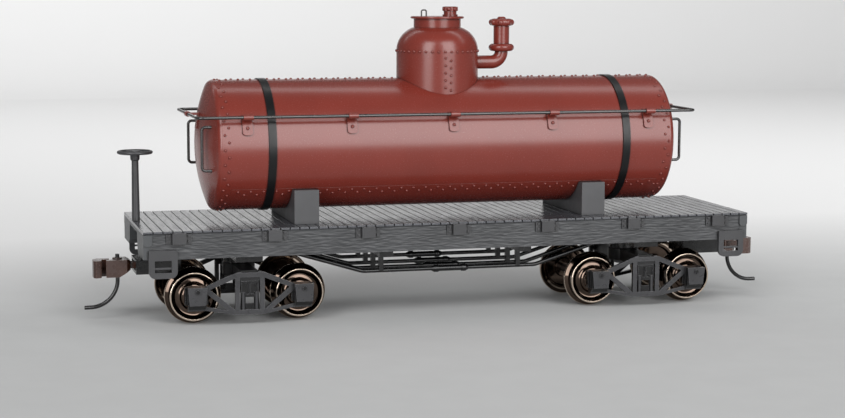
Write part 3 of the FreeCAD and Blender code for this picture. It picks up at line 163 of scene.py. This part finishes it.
def surface(name, colour, dark, rough, worn_and_lit_colour=None, wear_and_highlight_amount=0.6, grain=900, bump=0.15, depth=0.03 * MM,
            metallic=0.0, specular=0.5, stretch=(1, 1, 1), patch=120, round_edges=0.06 * MM,
            spread=0.05, tint=None, gap=0.8 * MM, recess_shade=0.6):
    """A finish with a fine grain, soft patches of colour, rounded corners, edges lightened partly
    by wear and partly by a painted highlight, and painted shade in corners and gaps.

    tint, if given, changes the base colour: it is called with the node tree and that colour.
    gap is how wide the gaps are that the painted shade darkens."""
    material = bpy.data.materials.new(name)
    material.use_nodes = True
    tree = material.node_tree
    shader = tree.nodes["Principled BSDF"]
    shader.inputs["Metallic"].default_value = metallic
    shader.inputs["Specular IOR Level"].default_value = specular
    fine = noise_of(tree, coordinates(tree, stretch), grain)
    patches = noise_of(tree, coordinates(tree), patch, detail=2.0)
    base = blend(tree, ramp(tree, patches, *PATCH_RANGE, 0, 1), dark, colour)
    edges = add(tree, "ShaderNodeBevel", samples=6, Radius=round_edges)
    if tint:
        base = tint(tree, base)
    # edges get a lighter colour: partly wear, partly a painted highlight
    base = edge_wear_and_highlight(tree, base, worn_and_lit_colour or colour, edges.outputs["Normal"], wear_and_highlight_amount)
    # painted shade in corners and narrow gaps
    if recess_shade:
        base = paint_recess_shade(tree, base, gap, recess_shade)
    tree.links.new(base, shader.inputs["Base Color"])
    tree.links.new(ramp(tree, fine, *FINE_RANGE, rough - spread, rough + spread),
                   shader.inputs["Roughness"])
    relief = add(tree, "ShaderNodeBump", Strength=bump, Distance=depth)
    tree.links.new(fine, relief.inputs["Height"])
    tree.links.new(edges.outputs["Normal"], relief.inputs["Normal"])
    tree.links.new(relief.outputs["Normal"], shader.inputs["Normal"])
    return material


def grain_streaks(stretch, dark, scale, amount):
    """A tint that draws dark streaks of wood grain along the axis with the smallest stretch."""
    streak_from = 0.52
    streak_full = 0.68

    def tint(tree, colour):
        streaks = noise_of(tree, coordinates(tree, stretch), scale, detail=6.0, roughness=0.7)
        mask = ramp(tree, streaks, streak_from, streak_full, 0, amount)
        return blend(tree, mask, colour, dark)
    return tint


def shade_all_but_faces(bands, dark):
    """A tint that paints shade on a moulding: dark except at some distances from the wagon's
    centre plane, where it keeps its lit colour.

    bands holds each such range of distances, which are those of the moulding's outer faces."""
    def tint(tree, colour):
        split = add(tree, "ShaderNodeSeparateXYZ")
        tree.links.new(coordinates(tree), split.inputs[0])
        reach = add(tree, "ShaderNodeMath", operation="ABSOLUTE")
        tree.links.new(split.outputs["Y"], reach.inputs[0])
        soft = 0.12 * MM
        result = dark
        for low, high in bands:
            rise = ramp(tree, reach.outputs["Value"], low - soft, low, 0, 1)
            fall = ramp(tree, reach.outputs["Value"], high, high + soft, 1, 0)
            inside = add(tree, "ShaderNodeMath", operation="MULTIPLY")
            tree.links.new(rise, inside.inputs[0])
            tree.links.new(fall, inside.inputs[1])
            result = blend(tree, inside.outputs["Value"], result, colour)
        return result
    return tint


def bright_rings(x, z, rings, colour):
    """A tint that bares the metal of a wheel in rings, each from one radius to another."""
    def tint(tree, base):
        flat = coordinates(tree, (1, 0, 1), (x, 0, z))
        length = add(tree, "ShaderNodeVectorMath", operation="LENGTH")
        tree.links.new(flat, length.inputs[0])
        soft = 0.03 * MM
        for low, high in rings:
            middle = (low + high) / 2
            half = (high - low) / 2
            offset = add(tree, "ShaderNodeMath", operation="SUBTRACT")
            tree.links.new(length.outputs["Value"], offset.inputs[0])
            offset.inputs[1].default_value = middle
            distance = add(tree, "ShaderNodeMath", operation="ABSOLUTE")
            tree.links.new(offset.outputs["Value"], distance.inputs[0])
            edge = ramp(tree, distance.outputs["Value"], half + soft, half - soft, 0, 1)
            base = blend(tree, edge, base, colour)
        return base
    return tint


def finish(material, *names):
    """Give CAD nodes their material."""
    for name in names:
        obj = nodes[name]
        obj.data.materials.clear()
        obj.data.materials.append(material)


tank_red = surface("tank_red", srgb(116, 45, 36), srgb(112, 43, 34), 0.26, worn_and_lit_colour=srgb(150, 68, 58),
                   wear_and_highlight_amount=0.4, grain=5000, bump=0.03, depth=0.01 * MM, spread=0.02, specular=0.6,
                   round_edges=0.04 * MM, gap=0.35 * MM, recess_shade=0.75)
strap_black = surface("strap_black", srgb(17, 17, 18), srgb(12, 12, 13), 0.33,
                      worn_and_lit_colour=srgb(50, 50, 52), specular=0.35, recess_shade=0)
wire_black = surface("wire_black", srgb(32, 28, 27), srgb(24, 20, 19), 0.25,
                     worn_and_lit_colour=srgb(70, 64, 60), specular=0.9, recess_shade=0)
deck_grey = surface("deck_grey", srgb(73, 74, 79), srgb(63, 64, 69), 0.23,
                    worn_and_lit_colour=srgb(100, 101, 106), wear_and_highlight_amount=0.3, grain=1400, stretch=(1.0, 0.1, 1.0),
                    bump=0.15, specular=0.9, gap=0.4 * MM, recess_shade=0.8,
                    tint=grain_streaks((1.0, 0.05, 1.0), srgb(50, 50, 54), scale=1400,
                                       amount=0.5))
sill_grey = surface("sill_grey", srgb(61, 62, 64), srgb(50, 51, 53), 0.42, worn_and_lit_colour=srgb(84, 84, 88),
                    grain=1500, stretch=(0.25, 1.0, 1.2), bump=0.8,
                    tint=grain_streaks((0.14, 1.0, 1.0), srgb(34, 34, 36), scale=3200,
                                       amount=0.8))
fitting_grey = surface("fitting_grey", srgb(56, 56, 58), srgb(46, 46, 48), 0.38,
                       worn_and_lit_colour=srgb(110, 110, 114), gap=1.2 * MM, recess_shade=0.95)
end_grey = surface("end_grey", srgb(68, 70, 72), srgb(59, 61, 63), 0.42,
                   worn_and_lit_colour=srgb(120, 122, 124), gap=1.2 * MM, recess_shade=0.95)
saddle_grey = surface("saddle_grey", srgb(74, 74, 76), srgb(67, 67, 69), 0.5,
                      worn_and_lit_colour=srgb(108, 108, 110), wear_and_highlight_amount=0.4)
frame_black = surface("frame_black", srgb(14, 14, 15), srgb(9, 9, 10), 0.25,
                      worn_and_lit_colour=srgb(46, 46, 50), specular=0.45, gap=1.0 * MM, recess_shade=0.5)
# Distances of the arch bars' and the journal boxes' outer faces from the centre plane; the truck
# frames keep their lit colour there and are painted with shade everywhere else
TRUCK_FACES = ((12.85 * MM, 13.2 * MM), (14.55 * MM, 14.65 * MM))
truck_black = surface("truck_black", srgb(58, 58, 60), srgb(48, 48, 50), 0.3,
                      worn_and_lit_colour=srgb(132, 132, 136), wear_and_highlight_amount=0.9, specular=0.35, gap=0.9 * MM, recess_shade=0.9,
                      tint=shade_all_but_faces(TRUCK_FACES, srgb(12, 12, 13)))
bolster_black = surface("bolster_black", srgb(13, 13, 14), srgb(9, 9, 10), 0.4,
                        worn_and_lit_colour=srgb(46, 46, 50), specular=0.35)
coupler_brown = surface("coupler_brown", srgb(70, 44, 35), srgb(50, 32, 26), 0.28,
                        worn_and_lit_colour=srgb(136, 108, 96), wear_and_highlight_amount=0.8, specular=0.7, recess_shade=0.9)
pin_black = surface("pin_black", srgb(24, 23, 24), srgb(16, 15, 16), 0.22, metallic=0.3,
                    worn_and_lit_colour=srgb(90, 86, 88), specular=0.9, recess_shade=0)
plain_steel = surface("plain_steel", srgb(150, 150, 152), srgb(120, 120, 122), 0.35, metallic=1.0)
bronze = surface("bronze", srgb(190, 150, 90), srgb(160, 120, 70), 0.3, metallic=1.0)


def wheel_metal(index):
    """Blackened wheels with a bright rim and flange edge, measured from their axle."""
    low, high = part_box(f"wheelset_{index}_wheels")
    middle = (low + high) / 2
    rim_ring = (4.44 * MM, 4.75 * MM)
    flange_ring = (5.44 * MM, 5.60 * MM)
    rim = bright_rings(middle.x, middle.z, (rim_ring, flange_ring), srgb(226, 208, 190))
    return surface(f"wheel_metal_{index}", srgb(98, 84, 75), srgb(70, 60, 53), 0.08, metallic=1.0,
                   worn_and_lit_colour=srgb(150, 132, 120), wear_and_highlight_amount=0.4, bump=0.03, spread=0.02, tint=rim, patch=260,
                   recess_shade=0)


def finish_cad_nodes():
    finish(tank_red, "tank_barrel", "tank_head_left", "tank_head_right", "dome", "dome_lid",
           "lid_valve", "vent_pipe", "vent_cap", "handrail_brackets")
    finish(strap_black, "tank_band_left", "tank_band_right")
    finish(wire_black, "handrail", "grab_irons", "lid_handle")
    finish(fitting_grey, "stake_pockets", "step_stirrups", "brake_staff", "brake_wheel")
    finish(end_grey, "end_beam_left", "end_beam_right")
    finish(saddle_grey, "saddle_left", "saddle_right")
    finish(frame_black, "underframe", "needle_beams", "queen_posts", "truss_rods", "turnbuckles",
           "coupler_box_left", "coupler_box_right", "coupler_box_lids")
    for side in SIDES:
        truck = "truck_" + side
        finish(bolster_black, truck + "_bolster")
        finish(truck_black, truck + "_frame_front", truck + "_frame_rear")
        finish(coupler_brown, f"coupler_{side}_head", f"coupler_{side}_knuckle")
        finish(pin_black, f"coupler_{side}_pin")
        finish(bronze, f"coupler_spring_{side}")
    for index in range(1, 5):
        finish(wheel_metal(index), f"wheelset_{index}_wheels")
        finish(plain_steel, f"wheelset_{index}_axle")
    finish(plain_steel, "truck_screws", "tank_screws", "coupler_screws", "ballast_weight")


def direction(azimuth, elevation):
    """The way from the wagon to a place round it, by angles in radians; azimuth 0 is the front."""
    return Vector((math.sin(azimuth) * math.cos(elevation),
                   -math.cos(azimuth) * math.cos(elevation), math.sin(elevation)))


# Pieces made here

def piece(name, points, faces, material, smooth=True):
    """A new mesh object that rides on the wagon's body."""
    mesh = bpy.data.meshes.new(name)
    mesh.from_pydata(points, [], faces)
    mesh.validate()
    for polygon in mesh.polygons:
        polygon.use_smooth = smooth
    mesh.materials.append(material)
    obj = bpy.data.objects.new(name, mesh)
    bpy.context.scene.collection.objects.link(obj)
    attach(obj, WAGON)
    return obj


def rivet_heads(name, places, radius=0.28 * MM, height=0.24 * MM, sides=10):
    """Round rivet heads, each at a (point, outward normal) on painted plate.

    levels are rings of a head, as shares of its radius and height; the first is in the plate."""
    levels = [(1.0, -0.25), (1.0, 0.1), (0.86, 0.55), (0.5, 0.9)]
    points = []
    faces = []
    for centre, normal in places:
        across = normal.orthogonal().normalized()
        along = normal.cross(across)
        start = len(points)
        for wide, up in levels:
            for side in range(sides):
                angle = 2 * math.pi * side / sides
                ring = across * math.cos(angle) + along * math.sin(angle)
                points.append(centre + ring * radius * wide + normal * height * up)
        points.append(centre + normal * height)
        top = start + sides * len(levels)
        for side in range(sides):
            after = (side + 1) % sides
            for level in range(len(levels) - 1):
                low = start + level * sides
                high = low + sides
                faces.append((low + side, low + after, high + after, high + side))
            faces.append((top - sides + side, top - sides + after, top))
        faces.append([start + side for side in reversed(range(sides))])
    return piece(name, points, faces, tank_red)


def on_barrel(x, angle):
    """A point on the barrel and its normal; the angle is 0 at the front and 90 degrees on top."""
    normal = Vector((0, -math.cos(angle), math.sin(angle)))
    return Vector((x, 0, TANK_Z)) + normal * TANK_R, normal


def on_dome(angle, z):
    """A point on the dome's side and its normal; the angle is 0 at the front."""
    normal = Vector((math.sin(angle), -math.cos(angle), 0))
    return normal * DOME_R + Vector((0, 0, z)), normal


STRAP_CLEARANCE = 0.35 * MM


def along_barrel(pitch, shift, reach):
    """Places along the barrel, clear of the straps."""
    count = int(reach / pitch)
    for index in range(-count, count + 1):
        x = index * pitch + shift
        if abs(x) < reach and abs(abs(x) - BAND_X) > BAND_HALF + STRAP_CLEARANCE:
            yield x


# Angles of a low seam's two rivet rows: 8.4 and 9.05 mm below the middle of the tank, on its
# radius of 12.8 mm
LOW_SEAM = (math.asin(-8.4 / 12.8), math.asin(-9.05 / 12.8))
SEAM_REACH = TANK_END - 2.0 * MM


def seam_spans():
    """The stretches of a low seam between the straps."""
    gap = BAND_HALF + 0.05 * MM
    edges = [-SEAM_REACH, -BAND_X - gap, -BAND_X + gap, BAND_X - gap, BAND_X + gap, SEAM_REACH]
    return list(zip(edges[::2], edges[1::2]))


def barrel_rivets():
    """Staggered double rows: round both ends, along both low seams and along the top."""
    places = []
    per_ring = 28
    ring_insets = (0.5 * MM, 1.3 * MM)
    low_pitch = 2.5 * MM
    top_pitch = 2.4 * MM
    top_lean = 0.045
    dome_clearance = 0.4 * MM
    for end in (-1, 1):
        for row, inset in enumerate(ring_insets):
            for index in range(per_ring):
                angle = 2 * math.pi * (index + row / 2) / per_ring
                places.append(on_barrel(end * (TANK_END - inset), angle))
    for row, angle in enumerate(LOW_SEAM):
        for x in along_barrel(low_pitch, low_pitch / 2 * row, SEAM_REACH):
            places.append(on_barrel(x, angle))
            places.append(on_barrel(x, math.pi - angle))
    for row, lean in enumerate((-top_lean, top_lean)):
        for x in along_barrel(top_pitch, top_pitch / 2 * row, SEAM_REACH):
            if abs(x) > DOME_R + dome_clearance:
                places.append(on_barrel(x, math.pi / 2 + lean))
    return rivet_heads("tank_rivets", places)


def dome_rivets():
    """A ring at the shoulder and a staggered double column down the front and the back."""
    shoulder = 52.1 * MM
    places = []
    count = 40
    for index in range(count):
        places.append(on_dome(2 * math.pi * (index + 0.5) / count, shoulder))
    pitch = 1.46 * MM
    per_column = 5
    aside = 0.55 * MM
    first_drops = (1.25 * MM, 1.75 * MM)
    for facing in (0, math.pi):
        for row, side in enumerate((-1, 1)):
            angle = facing + side * aside / DOME_R
            for index in range(per_column):
                z = shoulder - first_drops[row] - pitch * index
                places.append(on_dome(angle, z))
    return rivet_heads("dome_rivets", places)


def lap_seams():
    """The lower plate's edge stands a little proud along each low seam."""
    thick = 0.07 * MM
    sunk = 0.05 * MM
    margin = 0.055
    upper = LOW_SEAM[0] + margin
    lower = LOW_SEAM[1] - margin
    steps = 6
    points = []
    faces = []
    for facing in (0, 1):
        for start, end in seam_spans():
            first = len(points)
            for x in (start, end):
                for step in range(steps + 1):
                    share = step / steps
                    angle = upper + (lower - upper) * share
                    point, normal = on_barrel(x, math.pi - angle if facing else angle)
                    points.append(point + normal * thick * (1 - share))
                for step in range(steps + 1):
                    angle = lower + (upper - lower) * step / steps
                    point, normal = on_barrel(x, math.pi - angle if facing else angle)
                    points.append(point - normal * sunk)
            around = 2 * (steps + 1)
            ring = range(around)
            for index in ring:
                after = (index + 1) % around
                faces.append((first + index, first + after, first + around + after,
                              first + around + index))
            faces.append([first + index for index in reversed(ring)])
            faces.append([first + around + index for index in ring])
    return piece("tank_lap_seams", points, faces, tank_red, smooth=False)


def bracket_straps():
    """Straps with round ends over the feet of the handrail brackets, each with a rivet."""
    pitch = 20.5 * MM
    half = 0.99 * MM
    top = 6.0 * MM
    bottom = 3.25 * MM
    tip = 0.45 * MM
    sunk = 0.05 * MM
    lift = 0.42 * MM
    rivet_angle = 0.32
    outline = [(-half, top), (-half, bottom)]
    steps = 8
    for step in range(1, steps):
        angle = math.pi * step / steps
        outline.append((-half * math.cos(angle), bottom - tip * math.sin(angle)))
    outline += [(half, bottom), (half, top)]
    points = []
    faces = []
    rivets = []
    for facing in (-1, 1):
        for index in range(-2, 3):
            first = len(points)
            for raised in (-sunk, lift):
                for x, z in outline:
                    y = math.sqrt((TANK_R + raised) ** 2 - z * z)
                    points.append(Vector((x + index * pitch, facing * y, TANK_Z + z)))
            count = len(outline)
            for step in range(count):
                after = (step + 1) % count
                faces.append((first + step, first + after, first + count + after,
                              first + count + step))
            for step in range(count // 2):
                other = count - 1 - step
                across = (step, step + 1, other - 1, other)
                if other - 1 == step + 1:
                    across = (step, step + 1, other)
                faces.append([first + count + i for i in across])
                faces.append([first + i for i in reversed(across)])
            normal = Vector((0, facing * math.cos(rivet_angle), math.sin(rivet_angle)))
            spot = Vector((index * pitch, 0, TANK_Z)) + normal * (TANK_R + lift)
            rivets.append((spot, normal))
    rivet_heads("bracket_rivets", rivets, radius=0.34 * MM, height=0.24 * MM, sides=12)
    return piece("bracket_straps", points, faces, tank_red, smooth=False)


def valve_bumps():
    """Domed nuts round the top and the foot of the lid's valve."""
    low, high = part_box("lid_valve")
    middle = (low + high) / 2
    radius = (high.x - low.x) / 2
    places = []
    count = 6
    top = (high.z - 0.5 * MM, 0.86 * radius)
    foot = (low.z + 0.45 * MM, 0.6 * radius)
    for level, reach in (top, foot):
        for index in range(count):
            normal = direction(2 * math.pi * (index + 0.5) / count, 0)
            spot = Vector((middle.x, middle.y, level)) + normal * reach
            places.append((spot, normal))
    return rivet_heads("valve_nuts", places, radius=0.42 * MM, height=0.3 * MM, sides=12)


def gridded_block(name, xs, ys, zs, relief, material, replaced):
    """A closed block on a grid of x, y and z values; relief moves each point of its skin."""
    index_of = {}
    points = []
    faces = []

    def point(i, j, k):
        key = (i, j, k)
        if key not in index_of:
            index_of[key] = len(points)
            points.append(relief(Vector((xs[i], ys[j], zs[k])), key))
        return index_of[key]

    nx, ny, nz = len(xs) - 1, len(ys) - 1, len(zs) - 1
    for i in range(nx):
        for j in range(ny):
            faces.append([point(*p) for p in ((i, j, nz), (i + 1, j, nz), (i + 1, j + 1, nz),
                                              (i, j + 1, nz))])
            faces.append([point(*p) for p in ((i, j, 0), (i, j + 1, 0), (i + 1, j + 1, 0),
                                              (i + 1, j, 0))])
        for k in range(nz):
            faces.append([point(*p) for p in ((i, 0, k), (i + 1, 0, k), (i + 1, 0, k + 1),
                                              (i, 0, k + 1))])
            faces.append([point(*p) for p in ((i, ny, k), (i, ny, k + 1), (i + 1, ny, k + 1),
                                              (i + 1, ny, k))])
    for j in range(ny):
        for k in range(nz):
            faces.append([point(*p) for p in ((0, j, k), (0, j, k + 1), (0, j + 1, k + 1),
                                              (0, j + 1, k))])
            faces.append([point(*p) for p in ((nx, j, k), (nx, j + 1, k), (nx, j + 1, k + 1),
                                              (nx, j, k + 1))])
    obj = piece(name, points, faces, material, smooth=False)
    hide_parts(replaced)
    return obj


def spaced(low, high, count):
    return [low + (high - low) * i / count for i in range(count + 1)]


GRAIN_ALONG = 0.55
GRAIN_ACROSS = 2.6
GRAIN_FOLD = 1.45


def grain_height(along, across, seed):
    """Wood grain as a height from -1 to 1: long streaks of several widths; lengths in mm."""
    value = 0.0
    weight = 0.5
    for octave in range(3):
        fold = GRAIN_FOLD ** octave
        spot = Vector((along * GRAIN_ALONG * fold, across * GRAIN_ACROSS * fold,
                       seed + 7.3 * octave))
        value += weight * noise.noise(spot)
        weight *= 0.6
    return value


def side_sill(side, name, facing):
    """A side sill with wood grain moulded into its outer face, a little below the CAD face."""
    low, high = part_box(name)
    xs = spaced(low.x, high.x, 400)
    zs = spaced(low.z, high.z, 54)
    outer = 1 if facing > 0 else 0
    top = len(zs) - 1
    grain_depth = 0.07 * MM
    below_face = 0.9

    def relief(p, key):
        j, k = key[1:]
        if k == top:
            p.z += EDGE_CUT
        if j == outer and 0 < k < top:
            height = grain_height(p.x / MM, p.z / MM, 3.0 * facing) - below_face
            p.y += facing * grain_depth * height
        return p

    return gridded_block(side + "_sill_grained", xs, [low.y, high.y], zs, relief, sill_grey, name)


PLANKS = 66
PLANK_GAP = 0.25 * MM
PLANK_GAP_DEPTH = 0.3 * MM

# The deck's edge is this much thinner than in the CAD, and the side sills reach up to meet it
EDGE_CUT = 0.2 * MM


def deck():
    """A deck of planks with gaps, moulded grain and slightly uneven ends."""
    low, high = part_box("deck")
    pitch = (high.x - low.x) / PLANKS
    offsets = [0, PLANK_GAP / 2, 0.26 * pitch, 0.42 * pitch, 0.58 * pitch, 0.74 * pitch,
               pitch - PLANK_GAP / 2]
    gap_end = 0.32 * MM
    grain_depth = 0.03 * MM
    grain_width = 1.6
    below_face = 0.4
    xs = [low.x + plank * pitch + offset for plank in range(PLANKS) for offset in offsets]
    xs.append(high.x)
    ys = spaced(low.y, high.y, 72)
    zs = [low.z, high.z]
    draw = random.Random(11)
    lift = [draw.uniform(-0.02, 0.0) * MM for _ in range(PLANKS)]
    inset = [draw.uniform(0.0, 0.06) * MM for _ in range(PLANKS)]

    def relief(p, key):
        i, j, k = key
        plank = min(i // len(offsets), PLANKS - 1)
        gap = i % len(offsets) == 0 and 0 < i < len(xs) - 1
        if k == 1:
            if gap:
                p.z -= PLANK_GAP_DEPTH
            else:
                grain = grain_height(p.y / MM, p.x / MM * grain_width, plank) - below_face
                p.z += lift[plank] + grain_depth * grain
        if j in (0, len(ys) - 1):
            reach = gap_end if gap else inset[plank]
            p.y += reach if j == 0 else -reach
            if k == 0:
                p.z += EDGE_CUT
        return p

    return gridded_block("deck_planks", xs, ys, zs, relief, deck_grey, "deck")


def make_pieces():
    barrel_rivets()
    dome_rivets()
    lap_seams()
    bracket_straps()
    valve_bumps()
    side_sill("front", "side_sill_front", -1)
    side_sill("rear", "side_sill_rear", 1)
    deck()


# Studio

WAGON_MIDDLE = Vector((0, 0, 0.03))


def camera():
    """A long lens from the front left, slightly above the deck."""
    target = Vector((-2.97, 0, 19.93)) * MM
    distance = 371.4 * MM
    azimuth = math.radians(-15.48)
    elevation = math.radians(7.017)
    roll = math.radians(-0.157)
    away = direction(azimuth, elevation)
    data = bpy.data.cameras.new("camera")
    data.lens = 77.65
    data.sensor_width = 36
    data.clip_start = 0.01
    data.clip_end = 20
    obj = bpy.data.objects.new("camera", data)
    obj.location = target + away * distance
    turn = (-away).to_track_quat("-Z", "Y").to_matrix()
    obj.rotation_euler = (turn @ Matrix.Rotation(-roll, 3, "Z")).to_euler()
    bpy.context.scene.collection.objects.link(obj)
    bpy.context.scene.camera = obj


def softbox(name, azimuth, elevation, distance, width, height, power, aim=None):
    """A rectangular light, placed by its direction in degrees; it faces the wagon or an aim."""
    away = direction(math.radians(azimuth), math.radians(elevation))
    data = bpy.data.lights.new(name, "AREA")
    data.shape = "RECTANGLE"
    data.size = width
    data.size_y = height
    data.energy = power
    obj = bpy.data.objects.new(name, data)
    obj.location = WAGON_MIDDLE + away * distance
    obj.rotation_euler = ((aim or WAGON_MIDDLE) - obj.location).to_track_quat("-Z", "Y").to_euler()
    bpy.context.scene.collection.objects.link(obj)


def backdrop():
    """A pale floor, and a sheet of paper that sweeps up behind the wagon; the paper is painted
    paler behind the wagon, where the wagon's shadow falls.
    """
    # the paler zone behind the wagon is painted light that lifts the wagon's shadow
    paper = surface("paper", srgb(196, 197, 197), srgb(194, 195, 195), 0.9, grain=300, bump=0.02,
                    specular=0.1, recess_shade=0, tint=painted_light_behind(srgb(236, 236, 236)))
    bend = 0.7
    radius = 0.3
    top = 0.42
    steps = 16
    profile = [(bend, 0.0)]
    for step in range(1, steps + 1):
        angle = math.pi / 2 * step / steps
        profile.append((bend + radius * math.sin(angle), radius * (1 - math.cos(angle))))
    profile.append((bend + radius, top))
    sheet("floor", [(-2.0, 0.0), (bend, 0.0)], -3.0, 3.0, paper)
    sheet("backdrop", profile, left=-0.09, right=1.35, material=paper)


def painted_light_behind(pale):
    """A tint that paints light on the paper behind the wagon, where the wagon's shadow falls, but
    not beyond its left end.
    """
    starts_behind, full_behind = 0.01, 0.12
    starts_left, full_left = -0.25, -0.11

    def tint(tree, colour):
        split = add(tree, "ShaderNodeSeparateXYZ")
        tree.links.new(coordinates(tree), split.inputs[0])
        behind = ramp(tree, split.outputs["Y"], starts_behind, full_behind, 0, 1)
        beside = ramp(tree, split.outputs["X"], starts_left, full_left, 0, 1)
        both = add(tree, "ShaderNodeMath", operation="MULTIPLY")
        tree.links.new(behind, both.inputs[0])
        tree.links.new(beside, both.inputs[1])
        return blend(tree, both.outputs["Value"], colour, pale)
    return tint


def sheet(name, profile, left, right, material):
    """A sheet across the studio through a profile of (y, z) places."""
    mesh = bpy.data.meshes.new(name)
    points = [(x, y, z) for y, z in profile for x in (left, right)]
    faces = [(2 * i, 2 * i + 1, 2 * i + 3, 2 * i + 2) for i in range(len(profile) - 1)]
    mesh.from_pydata(points, [], faces)
    for polygon in mesh.polygons:
        polygon.use_smooth = True
    mesh.materials.append(material)
    obj = bpy.data.objects.new(name, mesh)
    bpy.context.scene.collection.objects.link(obj)


def world(strength):
    data = bpy.data.worlds.new("studio")
    bpy.context.scene.world = data
    data.use_nodes = True
    background = data.node_tree.nodes["Background"]
    background.inputs["Color"].default_value = (1, 1, 1, 1)
    background.inputs["Strength"].default_value = strength


finish_cad_nodes()
make_pieces()
camera()
backdrop()
world(0.18)
softbox("key", azimuth=18, elevation=21.5, distance=1.0, width=0.62, height=0.92, power=8.9)
softbox("side", azimuth=-41, elevation=21.5, distance=1.0, width=0.46, height=0.88, power=7.0)
softbox("wash", azimuth=172, elevation=62, distance=0.55, width=2.0, height=0.3, power=5.0,
        aim=Vector((0.36, 0.75, 0.0)))
bpy.context.scene.view_settings.view_transform = "Standard"
